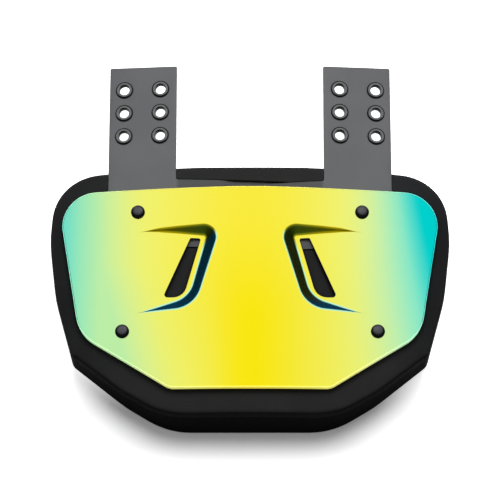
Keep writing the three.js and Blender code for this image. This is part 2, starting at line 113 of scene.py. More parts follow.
def plain_material(name):
    material = bpy.data.materials.new(name)
    material.use_nodes = True
    tree = material.node_tree
    tree.nodes.clear()
    output = node(tree, "ShaderNodeOutputMaterial", (600, 0))
    shader = node(tree, "ShaderNodeBsdfPrincipled", (300, 0))
    set_inputs(output, Surface=shader.outputs["BSDF"])
    return material, tree, shader


table_mesh = bpy.data.meshes.new("table")
half = TABLE_SIZE / 2
table_corners = [(-half, -half), (half, -half), (half, half), (-half, half)]
table_mesh.from_pydata([(x, y, -TABLE_DROP) for x, y in table_corners], [], [(0, 1, 2, 3)])
table = added("table", table_mesh)
table_paint, tree, shader = plain_material("table_paint")
place = xyz_of(tree, (-900, -300))
glow_above = eased(tree, (-400, -200), place["Y"], *TABLE_LIT)
glow_below = eased(tree, (-400, -450), place["Y"], *TABLE_LIT_BELOW)
glow = math_node(tree, (-200, -300), "ADD", glow_above, glow_below)
set_inputs(shader, Base_Color=(TABLE_WHITE, TABLE_WHITE, TABLE_WHITE, 1), Roughness=0.9)
set_inputs(shader, Specular_IOR_Level=0.0, Emission_Color=WHITE, Emission_Strength=glow)
table_mesh.materials.append(table_paint)

lamp_data = bpy.data.lights.new("lamp", "AREA")
lamp_data.shape = "DISK"
lamp_data.size = LAMP_WIDTH
lamp_data.energy = LAMP_WATTS
lamp = added("lamp", lamp_data)
lamp.rotation_euler = (-LAMP_LEAN, LAMP_ASIDE, 0)
lamp.location = lamp.rotation_euler.to_matrix() @ Vector((0, 0, LAMP_AWAY))
lamp.visible_glossy = False


def background(tree, at, strength):
    made = node(tree, "ShaderNodeBackground", at)
    set_inputs(made, Color=WHITE, Strength=strength)
    return made.outputs["Background"]


def chosen(tree, at, factor, first, second):
    made = node(tree, "ShaderNodeMixShader", at)
    for slot, value in enumerate((factor, first, second)):
        fill(made.inputs[slot], value)
    return made.outputs["Shader"]


world = bpy.data.worlds.new("room")
bpy.context.scene.world = world
world.use_nodes = True
tree = world.node_tree
tree.nodes.clear()
ray = node(tree, "ShaderNodeLightPath", (-600, 300)).outputs
rise = xyz_of(tree, (-1000, -200), "Generated")["Z"]
mirrored_room = background(tree, (-300, -200), eased(tree, (-600, -200), rise, *ROOM_MIRRORED))
lit_room = background(tree, (-300, 0), WALL_FILL)
seen_room = background(tree, (-300, 200), 1.0)
room = chosen(tree, (0, 0), ray["Is Glossy Ray"], lit_room, mirrored_room)
room = chosen(tree, (200, 100), ray["Is Camera Ray"], room, seen_room)
set_inputs(node(tree, "ShaderNodeOutputWorld", (400, 100)), Surface=room)

CAMERA_AWAY = 2.0
CAMERA_LEAN = math.radians(17.5)
CAMERA_TARGET = (0, 0.038, 0.026)
CAMERA_LENS = 174.545
CAMERA_SENSOR = 36
camera_data = bpy.data.cameras.new("camera")
camera_data.sensor_width = CAMERA_SENSOR
camera_data.lens = CAMERA_LENS
camera = added("camera", camera_data)
camera.location = (
    CAMERA_TARGET[0],
    CAMERA_TARGET[1] - CAMERA_AWAY * math.sin(CAMERA_LEAN),
    CAMERA_TARGET[2] + CAMERA_AWAY * math.cos(CAMERA_LEAN),
)
camera.rotation_euler = (CAMERA_LEAN, 0, 0)
bpy.context.scene.camera = camera
bpy.context.scene.view_settings.view_transform = "Standard"
bpy.context.scene.view_settings.look = "None"

# The back foam layer: the thick block of closed-cell foam that lies on the wearer's back, cut
# from sheet with walls that lean in and a softened lower edge. The thinner front layer is glued
# onto its curved top. Shapes are in millimetres from here on, and places in materials in metres.
PAD_WIDTH = 332
PAD_HEIGHT = 221.8
PAD_DEPTH = 45
FRONT_CURVE = 907
FRONT_LAYER = 12
LAYER_GAP = 0.3
BACK_LEAN = math.radians(9.5)
BACK_LEAN_FADE = 3
BACK_FOOT_ROUND = 2.2
SEAM_STEP = 0.8
SEAM_ROUND = 0.9
# Corners of the right half, as shares of the half width and height, and their radius.
PAD_CORNERS = [
    (0.35, 1, 375),
    (0.968, 0.926, 45),
    (1, 0.429, 120),
    (0.962, -0.038, 120),
    (0.875, -0.5, 10),
    (0.614, -0.81, 120),
    (0.402, -1, 67),
]
PAD_STEP = 6
FOOT_STEPS = 4
SEAM_EASED = 0.3
WALL_SHARES = (0.2, 0.4, 0.6, 0.8, 0.94, 1.0)
CAP_SHARES = (0.97, 0.93, 0.86, 0.76, 0.62, 0.46, 0.3, 0.14)
BACK_FOAM_DARK = (0.002, 0.002, 0.0023, 1)
BACK_FOAM_LIGHT = (0.004, 0.004, 0.0044, 1)
BACK_FOAM_WALL_SHADE = (0.0012, 0.0012, 0.0013, 1)
BACK_FOAM_CELLS = 700
BACK_FOAM_TONE = 0.3
BLACK = (0, 0, 0, 1)
PATCH_ENDS = (0.35, 0.65)
FOAM_CELL_SHARE = 0.6
FOAM_HAZE = {"Scale": 420, "Detail": 5}
FOAM_CLOUD = {"Scale": 26, "Detail": 3}
FOAM_SHADED_SIDES = (0.1, 0.155, 0.5, 0.0)
FOAM_LIT_TOP = (0.04, 0.095, 0.0, 0.3)
FOAM_SHEEN = (0.16, 0.02)
FOAM_BUMP = {"Strength": 0.5, "Distance": 0.0003}
FOAM_ROUGHNESS = 0.8
FOAM_CONTACT = 0.006
FOAM_DEEPEST = 0.05
WALL_SHADE_ENDS = (0.4, 0.975)
CORNER_OPENS = (0.3, 0.95)


def pad_face(x):
    return PAD_DEPTH - FRONT_CURVE + math.sqrt(FRONT_CURVE ** 2 - x * x)


def seam_height(x):
    return pad_face(x) - FRONT_LAYER


def both_halves(rows, width, height):
    right = [(across * width / 2, up * height / 2, radius) for across, up, radius in rows]
    left = [(-x, y, radius) for x, y, radius in right if x > 0]
    return list(reversed(right + list(reversed(left))))


def rounded(corners, arc_step=math.radians(5), arc_count=None):
    points = []
    for i, (x, y, radius) in enumerate(corners):
        at = Vector((x, y))
        into = (at - Vector(corners[i - 1][:2])).normalized()
        out = (Vector(corners[(i + 1) % len(corners)][:2]) - at).normalized()
        if radius == 0:
            points.append(at)
            continue
        turn = into.angle(out)
        side = 1 if into.cross(out) > 0 else -1
        start = at - into * radius * math.tan(turn / 2)
        centre = start + Vector((-into.y, into.x)) * side * radius
        steps = arc_count or max(1, math.ceil(turn / arc_step))
        for k in range(steps + 1):
            points.append(centre + Matrix.Rotation(side * turn * k / steps, 2) @ (start - centre))
    return points


def straight_steps(points, longest):
    stepped = []
    for i, point in enumerate(points):
        after = points[(i + 1) % len(points)]
        count = max(1, math.ceil((after - point).length / longest))
        stepped += [point.lerp(after, k / count) for k in range(count)]
    return stepped


def moved_in(outline, amount):
    moved = []
    for i, point in enumerate(outline):
        along = (outline[(i + 1) % len(outline)] - outline[i - 1]).normalized()
        by = amount(point.x, abs(along.x)) if callable(amount) else amount
        moved.append(Vector((point.x - along.y * by, point.y + along.x * by)))
    return moved


class Body:
    """Points and faces in millimetres, joined where they meet, with a value for each point."""

    def __init__(self):
        self.points, self.found, self.faces, self.values = [], {}, [], []

    def point(self, x, y, z, value=(0, 0, 0, 0)):
        key = (round(x, 4), round(y, 4), round(z, 4))
        if key not in self.found:
            self.found[key] = len(self.points)
            self.points.append((x, y, z))
            self.values.append(value)
        return self.found[key]

    def face(self, *corners):
        around = [c for i, c in enumerate(corners) if c != corners[i - 1]]
        if len(set(around)) > 2:
            self.faces.append(around)

    def band(self, upper, lower):
        for i in range(len(upper)):
            j = (i + 1) % len(upper)
            self.face(upper[i], lower[i], lower[j], upper[j])

    def bands(self, rings):
        numbered = [[self.point(*p) for p in ring] for ring in rings]
        for above, below in zip(numbered, numbered[1:]):
            self.band(above, below)

    def two_faces(self, places, triangles, tops, unders):
        upper = [self.point(p.x, p.y, z) for p, z in zip(places, tops)]
        lower = [self.point(p.x, p.y, z) for p, z in zip(places, unders)]
        for a, b, c in triangles:
            self.face(upper[a], upper[b], upper[c])
            self.face(lower[c], lower[b], lower[a])

    def finish(self, name, sharp=math.radians(50), value_names=()):
        mesh = bpy.data.meshes.new(name)
        mesh.from_pydata([(x / 1000, y / 1000, z / 1000) for x, y, z in self.points], [], self.faces)
        for k, value_name in enumerate(value_names):
            layer = mesh.attributes.new(value_name, "FLOAT", "POINT")
            layer.data.foreach_set("value", [value[k] for value in self.values])
        made = bmesh.new()
        made.from_mesh(mesh)
        bmesh.ops.recalc_face_normals(made, faces=made.faces)
        made.to_mesh(mesh)
        made.free()
        mesh.shade_smooth()
        mesh.set_sharp_from_angle(angle=sharp)
        return added(name, mesh)


def ring_at(outline, inset, height):
    """A ring moved in from an outline, with each point at the height for its place across."""
    return [(p.x, p.y, height(p.x)) for p in moved_in(outline, inset)]


def quarter_round(radius, steps):
    """Inset and drop at each step round a quarter circle, from a wall up to a face."""
    turns = [math.radians(90) * k / steps for k in range(steps + 1)]
    return [(radius * (1 - math.cos(turn)), radius * (1 - math.sin(turn))) for turn in turns]


def layer_body(rings, under, over):
    """A closed layer. Its rings run up the wall, and shrunken ones close its two faces."""
    def shrunk(ring, share, height):
        return [(x * share, y * share, height(x * share)) for x, y, _ in ring]

    body = Body()
    levels = [shrunk(rings[0], share, under) for share in reversed(CAP_SHARES)]
    levels += rings
    levels += [shrunk(rings[-1], share, over) for share in CAP_SHARES]
    numbered = [[body.point(*p) for p in level] for level in levels]
    for lower, upper in zip(numbered, numbered[1:]):
        body.band(upper, lower)
    for level, height in ((numbered[0], under(0)), (numbered[-1], over(0))):
        middle = body.point(0, 0, height)
        for i in range(len(level)):
            body.face(middle, level[i - 1], level[i])
    return body


pad_outline = straight_steps(rounded(both_halves(PAD_CORNERS, PAD_WIDTH, PAD_HEIGHT)), PAD_STEP)


def seam_inset(x, facing):
    """The wall leans in most where it faces up or down the back, and not at all at the sides."""
    return seam_height(x) * math.tan(BACK_LEAN) * facing ** BACK_LEAN_FADE


def pad_ring(extra, height):
    return ring_at(pad_outline, lambda x, facing: seam_inset(x, facing) + extra, height)


def back_top(x):
    return seam_height(x) - LAYER_GAP


def back_wall(share):
    inset = lambda x, facing: share * (seam_inset(x, facing) + SEAM_STEP)
    return ring_at(pad_outline, inset, lambda x: share * (back_top(x) - SEAM_ROUND))


foot = reversed(quarter_round(BACK_FOOT_ROUND, FOOT_STEPS))
rings = [ring_at(pad_outline, inset, lambda x: height) for inset, height in foot]
rings += [back_wall(share) for share in WALL_SHARES]
broken = SEAM_ROUND * SEAM_EASED
rings.append(pad_ring(SEAM_STEP + broken, lambda x: back_top(x) - broken))
rings.append(pad_ring(SEAM_STEP + SEAM_ROUND, back_top))
back_foam = layer_body(rings, lambda x: 0, back_top).finish("back_foam")


def shader_group(name, inputs, outputs):
    group = bpy.data.node_groups.new(name, "ShaderNodeTree")
    for label, value in inputs.items():
        socket = group.interface.new_socket(label, in_out="INPUT", socket_type="NodeSocketFloat")
        socket.default_value = value
    for label in outputs:
        group.interface.new_socket(label, in_out="OUTPUT", socket_type="NodeSocketFloat")
    return group, node(group, "NodeGroupInput", (-800, 0)).outputs


def foam_skin_group():
    group, entry = shader_group("foam_skin", {"Cells Per Metre": 900}, ("Height", "Tone", "Skinned"))
    place = node(group, "ShaderNodeTexCoord", (-800, -200)).outputs["Object"]
    cells = node(group, "ShaderNodeTexVoronoi", (-500, 200), feature="SMOOTH_F1")
    haze = node(group, "ShaderNodeTexNoise", (-500, -100))
    cloud = node(group, "ShaderNodeTexNoise", (-500, -400))
    set_inputs(cells, Vector=place, Scale=entry["Cells Per Metre"])
    set_inputs(haze, Vector=place, **FOAM_HAZE)
    set_inputs(cloud, Vector=place, **FOAM_CLOUD)
    pitted = (cells.outputs["Distance"], FOAM_CELL_SHARE, haze.outputs["Fac"])
    height = math_node(group, (-200, 100), "MULTIPLY_ADD", *pitted)
    tone = mapped(group, (-200, -300), cloud.outputs["Fac"], *PATCH_ENDS)
    # Unshaded is 1 on flat faces and 0 on walls, which take painted shade.
    flat = math_node(group, (-350, -600), "ABSOLUTE", xyz_of(group, (-750, -600), "Normal")["Z"])
    face_unshaded = eased(group, (-200, -600), flat, *WALL_SHADE_ENDS)
    set_inputs(node(group, "NodeGroupOutput", (400, 0)), Height=height, Tone=tone, Skinned=face_unshaded)
    return group


foam_skin = foam_skin_group()


def mix_colour(tree, at, factor, first, second):
    mix = node(tree, "ShaderNodeMix", at, data_type="RGBA")
    set_inputs(mix, Factor=factor, A=first, B=second)
    return mix.outputs["Result"]


def darker_in_corners(tree, colour, reach, deepest):
    """Painted shade: the colour is darkened where a surface runs close against another."""
    near = node(tree, "ShaderNodeAmbientOcclusion", (100, 550), samples=8)
    set_inputs(near, Distance=reach)
    open_share = eased(tree, (300, 550), near.outputs["AO"], *CORNER_OPENS, deepest, 1.0)
    return mix_colour(tree, (450, 350), open_share, BLACK, colour)


def bumped(tree, height, **depth):
    bump = node(tree, "ShaderNodeBump", (0, -250))
    set_inputs(bump, Height=height, **depth)
    return bump.outputs["Normal"]


def foam_material(name, colours, cells, tone_share, deepest=FOAM_DEEPEST):
    """Foam with a cellular skin, a little uneven in tone, and painted shade that makes its walls blacker
    than its faces.
    """
    # The third colour is painted shade for the walls.
    dark, light, cut = colours
    material, tree, shader = plain_material(name)
    skin = node(tree, "ShaderNodeGroup", (-900, 0), node_tree=foam_skin)
    set_inputs(skin, Cells_Per_Metre=cells)
    place = xyz_of(tree, (-1300, 300))
    # Painted light and shade: the foam is painted darker towards its sides and paler towards its top,
    # where the lamp falls.
    sideways = math_node(tree, (-900, 500), "ABSOLUTE", place["X"])
    middle = eased(tree, (-700, 500), sideways, *FOAM_SHADED_SIDES)
    upper = eased(tree, (-700, 250), place["Y"], *FOAM_LIT_TOP)
    painted_light_share = math_node(tree, (-500, 350), "ADD", middle, upper)
    tone_and_painted_light = math_node(tree, (-300, 300), "MULTIPLY_ADD", skin.outputs["Tone"], tone_share, painted_light_share)
    skin_colour = mix_colour(tree, (-100, 300), tone_and_painted_light, dark, light)
    colour = mix_colour(tree, (100, 150), skin.outputs["Skinned"], cut, skin_colour)
    sheen = math_node(tree, (-100, -50), "MULTIPLY_ADD", skin.outputs["Skinned"], *FOAM_SHEEN)
    shaded = darker_in_corners(tree, colour, FOAM_CONTACT, deepest)
    set_inputs(shader, Base_Color=shaded, Roughness=FOAM_ROUGHNESS, Specular_IOR_Level=sheen)
    set_inputs(shader, Normal=bumped(tree, skin.outputs["Height"], **FOAM_BUMP))
    return material


back_colours = (BACK_FOAM_DARK, BACK_FOAM_LIGHT, BACK_FOAM_WALL_SHADE)
back_black = foam_material("back_foam_black", back_colours, BACK_FOAM_CELLS, BACK_FOAM_TONE)
back_foam.data.materials.append(back_black)
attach(back_foam, "root")
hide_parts("pad_back")

# The front foam layer: a thinner charcoal sheet with a rounded front edge, glued to the back
# layer. Two shallow pockets are pressed into its face for the strap arms; their foam is painted
# paler as painted light that lifts the shade round the arms.
FRONT_LEAN = math.radians(5)
FRONT_ROUND = 3.8
SHELL_HEIGHT = 170.2
STRAP_WIDTH = 56.3
STRAP_THICKNESS = 2.4
STRAP_SPREAD = 178.3
STRAP_REACH = 83.4
STRAP_SINK = 0.2
STRAP_CORNER = 1.5
ARM_WIDTH = 58.6
ARM_STEP_LENGTH = 9
ARM_STEP_MARGIN = 3
LEFT_ARM = {"side": -1, "peek": 9, "lean": math.radians(2), "past": 33}
RIGHT_ARM = {"side": 1, "peek": 7.7, "lean": math.radians(4.4), "past": 12}
POCKET_CLEAR = 0.3
POCKET_BELOW = 0.8
FRONT_FOAM_DARK = (0.0068, 0.0068, 0.0074, 1)
FRONT_FOAM_LIGHT = (0.0172, 0.0172, 0.0182, 1)
FRONT_FOAM_WALL_SHADE = (0.0026, 0.0026, 0.0028, 1)
FRONT_FOAM_POCKET_LIT = (0.05, 0.05, 0.053, 1)
FRONT_FOAM_CELLS = 1100
FRONT_FOAM_TONE = 0.2
POCKET_LIT_DEEPEST = 0.7
FRONT_STEPS = 7
FRONT_SHARP = math.radians(40)
FRONT_WALL_SHARES = (0.33, 0.66)
SEAM_LIFT = 0.4
POCKET_HEIGHT = 20
POCKET_STEP = 8
POCKET_COLUMN = 6.0
POCKET_ROW = 9.0
STRAP_ARC_STEP = math.radians(22)
EDGE_MARGIN = 3
ROW_CLEAR = 0.4
LEFT_ARM["step_from"] = RIGHT_ARM["past"] + ARM_STEP_MARGIN + ARM_STEP_LENGTH
RIGHT_ARM["step_from"] = -1000
strap_inner = (STRAP_SPREAD - STRAP_WIDTH) / 2
strap_outer = (STRAP_SPREAD + STRAP_WIDTH) / 2
strap_top = PAD_HEIGHT / 2 + STRAP_REACH
shell_top = SHELL_HEIGHT / 2


def clamped(value):
    return min(1, max(0, value))


def strap_face(x, arm):
    inner, outer = pad_face(strap_inner), pad_face(strap_outer)
    level = pad_face(x)
    if x > strap_inner:
        level = inner + (outer - inner) * (x - strap_inner) / STRAP_WIDTH
    step = clamped((arm["step_from"] - x) / ARM_STEP_LENGTH)
    return level - STRAP_SINK - step * (STRAP_THICKNESS + POCKET_CLEAR)


def strap_outline(arm, grown, below=0):
    slope = math.tan(arm["lean"])
    arm_top = lambda x: shell_top + arm["peek"] - slope * (strap_inner - x)
    corners = [
        (strap_outer + grown, arm_top(strap_outer) - ARM_WIDTH - grown - below),
        (strap_outer + grown, strap_top + grown),
        (strap_inner - grown, strap_top + grown),
        (strap_inner - grown, arm_top(strap_inner) + grown),
        (-arm["past"] - grown, arm_top(-arm["past"]) + grown),
        (-arm["past"] - grown, arm_top(-arm["past"]) - ARM_WIDTH - grown - below),
    ]
    return rounded([(x, y, STRAP_CORNER) for x, y in corners], STRAP_ARC_STEP)


def inside(loops, points):
    count = np.zeros(len(points), int)
    for loop in loops:
        a = np.array([(p[0], p[1]) for p in loop], float)
        b = np.roll(a, -1, 0)
        for (ax, ay), (bx, by) in zip(a, b):
            if ay == by:
                continue
            crosses = (points[:, 1] < ay) != (points[:, 1] < by)
            at = ax + (points[:, 1] - ay) * (bx - ax) / (by - ay)
            count += crosses & (points[:, 0] < at)
    return count % 2 == 1


def filled(loops, columns, row_step, clear):
    points, edges = [], []
    for loop in loops:
        first = len(points)
        points += [Vector((p[0], p[1])) for p in loop]
        edges += [(first + i, first + (i + 1) % len(loop)) for i in range(len(loop))]
    low = min(p.y for p in points)
    high = max(p.y for p in points)
    rows = np.arange(low, high, row_step)
    free = np.array([(x, y + (k % 2) * row_step / 2) for k, x in enumerate(columns) for y in rows])
    free = free[inside(loops, free)]
    near = np.full(len(free), 1e9)
    for a, b in edges:
        start, along = np.array(points[a]), np.array(points[b] - points[a])
        share = np.clip(((free - start) @ along) / max(along @ along, 1e-12), 0, 1)
        near = np.minimum(near, np.linalg.norm(free - start - share[:, None] * along, axis=1))
    points += [Vector(p) for p in free[near > clear]]
    found, _, triangles, _, _, _ = geometry.delaunay_2d_cdt(points, edges, [], 0, 1e-6)
    places = np.array([(p.x, p.y) for p in found])
    kept = inside(loops, places[np.array(triangles)].mean(axis=1))
    return found, [tri for tri, keep in zip(triangles, kept) if keep]


def sheet_body(rings_of_loops, columns, row_step, top, under):
    """A closed sheet. Each loop comes as rings from its top edge to its under edge."""
    body = Body()
    loops = [rings[0] for rings in rings_of_loops]
    places, triangles = filled(loops, columns, row_step, row_step * ROW_CLEAR)
    body.two_faces(places, triangles, [top(p.x) for p in places], [under(p.x) for p in places])
    for rings in rings_of_loops:
        body.bands(rings)
    return body


def on_side(body, side):
    body.points = [(side * x, y, z) for x, y, z in body.points]
    return body


def pocket_cutter(arm):
    outline = straight_steps(strap_outline(arm, POCKET_CLEAR, POCKET_BELOW), POCKET_STEP)
    above = lambda x: PAD_DEPTH + POCKET_HEIGHT
    floor = lambda x: strap_face(x, arm) - STRAP_THICKNESS - POCKET_CLEAR
    rings = [ring_at(outline, 0, above), ring_at(outline, 0, floor)]
    columns = list(np.arange(-arm["past"] + EDGE_MARGIN, strap_outer, POCKET_COLUMN))
    body = sheet_body([rings], columns, POCKET_ROW, above, floor)
    return on_side(body, arm["side"]).finish("pocket")


def applied(piece):
    seen_by = bpy.context.evaluated_depsgraph_get()
    mesh = bpy.data.meshes.new_from_object(piece.evaluated_get(seen_by))
    piece.modifiers.clear()
    piece.data = mesh
    return piece


def front_wall(share):
    rise = share * (FRONT_LAYER - FRONT_ROUND - SEAM_ROUND)
    return pad_ring(top_inset * share, lambda x: seam_height(x) + SEAM_ROUND + rise)


top_inset = (FRONT_LAYER - FRONT_ROUND) * math.tan(FRONT_LEAN)
rings = [
    pad_ring(SEAM_STEP + SEAM_ROUND, seam_height),
    pad_ring(SEAM_ROUND * SEAM_EASED, lambda x: seam_height(x) + SEAM_ROUND * SEAM_LIFT),
    front_wall(0),
]
rings += [front_wall(share) for share in FRONT_WALL_SHARES]
for inset, drop in quarter_round(FRONT_ROUND, FRONT_STEPS):
    rings.append(pad_ring(top_inset + inset, lambda x: pad_face(x) - drop))
front_foam = layer_body(rings, seam_height, pad_face).finish("front_foam")
front_colours = (FRONT_FOAM_DARK, FRONT_FOAM_LIGHT, FRONT_FOAM_WALL_SHADE)
front_finish = (FRONT_FOAM_CELLS, FRONT_FOAM_TONE)
front_charcoal = foam_material("front_foam_charcoal", front_colours, *front_finish)
# Painted light: the pocket foam is painted paler, with little corner shade.
pocket_lit_colours = [FRONT_FOAM_POCKET_LIT] * 3
pocket_lit_foam = foam_material("front_foam_pocket_lit", pocket_lit_colours, *front_finish, POCKET_LIT_DEEPEST)
front_foam.data.materials.append(front_charcoal)
for arm in (LEFT_ARM, RIGHT_ARM):
    cutter = pocket_cutter(arm)
    cutter.data.materials.append(pocket_lit_foam)
    cut = front_foam.modifiers.new("pocket", "BOOLEAN")
    cut.operation = "DIFFERENCE"
    cut.solver = "MANIFOLD"
    cut.material_mode = "TRANSFER"
    cut.object = cutter
    applied(front_foam)
    bpy.data.objects.remove(cutter)
front_foam.data.set_sharp_from_angle(angle=FRONT_SHARP)
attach(front_foam, "root")
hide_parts("pad_front")

# The straps: two L-shaped pieces die-cut from grey semi-rigid plastic sheet. The upright takes
# the lacing, and the arm runs behind the plate towards the other strap; the arm is painted darker
# as painted shade. The sheared edges are lightly broken, faces turned towards the lower end are
# painted black as painted shade, and the moulded face has a fine grain with a soft sheen.
STRAP_EDGE = 0.45
EYELET_ROWS = 3
EYELET_ROW_SPACING = 20.5
EYELET_COLUMN_SPACING = 30.2
EYELET_OUTER_MARGIN = 12.3
EYELET_TOP_MARGIN = 20.3
EYELET_BARREL = 4.9
EYELET_CLEAR = 0.25
RIVET_SHANK = 2.4
UPPER_RIVET_OFFSET = 2.65
UPPER_RIVET_DROP = 21.7
LOWER_RIVET_MARGIN = 51.5
LOWER_RIVET_RISE = 47.5
SHELL_WIDTH = 309.6
STRAP_GREY_DARK = (0.081, 0.082, 0.088, 1)
STRAP_GREY_LIGHT = (0.097, 0.098, 0.103, 1)
ARM_SHADED_GREY = (0.048, 0.049, 0.051, 1)
STRAP_SHADE_BLACK = (0.003, 0.003, 0.003, 1)
STRAP_DOWN_SHADE = (-0.8, -0.3, 1.0, 0.0)
STRAP_CONTACT = 0.0015
STRAP_DEEPEST = 0.2
STRAP_SHEEN = 0.45
STRAP_ROUGHNESS = (0.46, 0.56)
STRAP_GRAIN = (1300, 22, 0.00012)
STRAP_STEP = 5
SHEET_SHARP = math.radians(60)
ARM_CLEAR = 2
UPRIGHT_CLEAR = 4
ARM_SHADE_BEFORE = 3
ARM_SHADE_AFTER = 1
ARM_COLUMN = 5.0
UPRIGHT_COLUMN = 6.0
HOLE_EDGE = 0.1
EYELET_HOLE_SIDES = 32
RIVET_HOLE_SIDES = 20
BROKEN_STEPS = ((1, 0), (0.3, 0.3), (0, 1))
GRAIN_BUMP = 0.4
upper_rivet = (STRAP_SPREAD / 2 + UPPER_RIVET_OFFSET, shell_top - UPPER_RIVET_DROP)
lower_rivet = (SHELL_WIDTH / 2 - LOWER_RIVET_MARGIN, LOWER_RIVET_RISE - shell_top)


def circle(x, y, radius, count):
    angles = [2 * math.pi * k / count for k in range(count)]
    return [Vector((x + radius * math.cos(a), y + radius * math.sin(a))) for a in angles]


def broken_edge(outline, top, under, edge, grow=1):
    """Rings round a sheet's edge, from the top face over the broken corners to the under face."""
    rings = []
    for inset, drop in BROKEN_STEPS:
        rings.append(ring_at(outline, grow * inset * edge, lambda x: top(x) - drop * edge))
    for inset, drop in reversed(BROKEN_STEPS):
        rings.append(ring_at(outline, grow * inset * edge, lambda x: under(x) + drop * edge))
    return rings


def strap_body(arm):
    top = lambda x: strap_face(x, arm)
    under = lambda x: strap_face(x, arm) - STRAP_THICKNESS
    outline = straight_steps(strap_outline(arm, 0), STRAP_STEP)
    loops = [broken_edge(outline, top, under, STRAP_EDGE)]
    holes = []
    outer_column = strap_outer - EYELET_OUTER_MARGIN
    for x in (outer_column, outer_column - EYELET_COLUMN_SPACING):
        for row in range(EYELET_ROWS):
            y = strap_top - EYELET_TOP_MARGIN - row * EYELET_ROW_SPACING
            holes.append(circle(x, y, EYELET_BARREL + EYELET_CLEAR, EYELET_HOLE_SIDES))
    holes.append(circle(*upper_rivet, RIVET_SHANK + POCKET_CLEAR, RIVET_HOLE_SIDES))
    loops += [broken_edge(hole, top, under, HOLE_EDGE, -1) for hole in holes]
    columns = sorted(
        list(np.arange(-arm["past"] + EDGE_MARGIN, strap_inner - ARM_CLEAR, ARM_COLUMN))
        + [strap_inner, arm["step_from"], arm["step_from"] - ARM_STEP_LENGTH]
        + list(np.arange(strap_inner + UPRIGHT_CLEAR, strap_outer, UPRIGHT_COLUMN))
    )
    return on_side(sheet_body(loops, columns, UPRIGHT_COLUMN, top, under), arm["side"])


def moulded_grain_group():
    amounts = {"Grain Per Metre": 900, "Patches Per Metre": 18}
    group, entry = shader_group("moulded_grain", amounts, ("Height", "Patch"))
    place = node(group, "ShaderNodeTexCoord", (-800, -200)).outputs["Object"]
    grain = node(group, "ShaderNodeTexNoise", (-450, 150))
    patch = node(group, "ShaderNodeTexNoise", (-450, -200))
    set_inputs(grain, Vector=place, Scale=entry["Grain Per Metre"], Detail=3)
    set_inputs(patch, Vector=place, Scale=entry["Patches Per Metre"], Detail=4)
    spread = mapped(group, (-150, -200), patch.outputs["Fac"], *PATCH_ENDS)
    leave = node(group, "NodeGroupOutput", (300, 0))
    set_inputs(leave, Height=grain.outputs["Fac"], Patch=spread)
    return group


moulded_grain = moulded_grain_group()


def grained_material(name, grain, patches, bump_depth):
    """A material with moulded grain. Returns what each piece still sets for itself."""
    material, tree, shader = plain_material(name)
    skin = node(tree, "ShaderNodeGroup", (-900, 0), node_tree=moulded_grain)
    set_inputs(skin, Grain_Per_Metre=grain, Patches_Per_Metre=patches)
    normal = bumped(tree, skin.outputs["Height"], Strength=GRAIN_BUMP, Distance=bump_depth)
    set_inputs(shader, Normal=normal)
    return material, tree, shader, skin.outputs["Patch"]


strap_plastic, tree, shader, patch = grained_material("strap_plastic", *STRAP_GRAIN)
place = xyz_of(tree, (-1100, 500))
facing = xyz_of(tree, (-1100, 750), "Normal")
upright = mix_colour(tree, (-500, 200), patch, STRAP_GREY_DARK, STRAP_GREY_LIGHT)
# Painted shade: the arm, in the plate's shade, is painted darker than the upright.
sideways = math_node(tree, (-700, 500), "ABSOLUTE", place["X"])
arm_shade_ends = ((strap_inner - ARM_SHADE_BEFORE) / 1000, (strap_inner + ARM_SHADE_AFTER) / 1000)
on_upright = eased(tree, (-500, 500), sideways, *arm_shade_ends)
colour = mix_colour(tree, (-300, 200), on_upright, ARM_SHADED_GREY, upright)
# Painted shade: faces turned towards the lower end, away from the lamp, are painted black.
facing_down_shade = eased(tree, (-500, 750), facing["Y"], *STRAP_DOWN_SHADE)
down_shaded = mix_colour(tree, (-100, 200), facing_down_shade, colour, STRAP_SHADE_BLACK)
shaded = darker_in_corners(tree, down_shaded, STRAP_CONTACT, STRAP_DEEPEST)
gloss = mapped(tree, (-300, -50), patch, 0.0, 1.0, *STRAP_ROUGHNESS)
set_inputs(shader, Base_Color=shaded, Roughness=gloss, Specular_IOR_Level=STRAP_SHEEN)
strap_names = (("strap_left", "left_strap"), ("strap_right", "right_strap"))
for arm, (name, cad_node) in zip((LEFT_ARM, RIGHT_ARM), strap_names):
    strap = strap_body(arm).finish(name, sharp=SHEET_SHARP)
    strap.data.materials.append(strap_plastic)
    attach(strap, "root")
    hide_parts(cad_node)

# The eyelets: grey lacquered metal, two columns of three on each strap. Each is a drawn barrel
# with a rolled bead on the face, a thin lip where it bites into the strap, and the barrel's end
# flared out flat behind. The lip, the bore and the faces turned towards the lower end are painted
# dark as painted shade.
EYELET_SIDES = 40
EYELET_GREY = (0.105, 0.107, 0.111, 1)
EYELET_SHADE_BLACK = (0.004, 0.004, 0.0045, 1)
EYELET_DOWN_SHADE = (-0.65, -0.2, 1.0, 0.0)
EYELET_GRAIN = (2200, 60, 0.00005)
EYELET_SHEEN = (-0.36, 0.4)
EYELET_ROUGHNESS = 0.42
TURNED_SHARP = math.radians(65)
eyelet_lean = math.atan2(pad_face(strap_inner) - pad_face(strap_outer), STRAP_WIDTH)
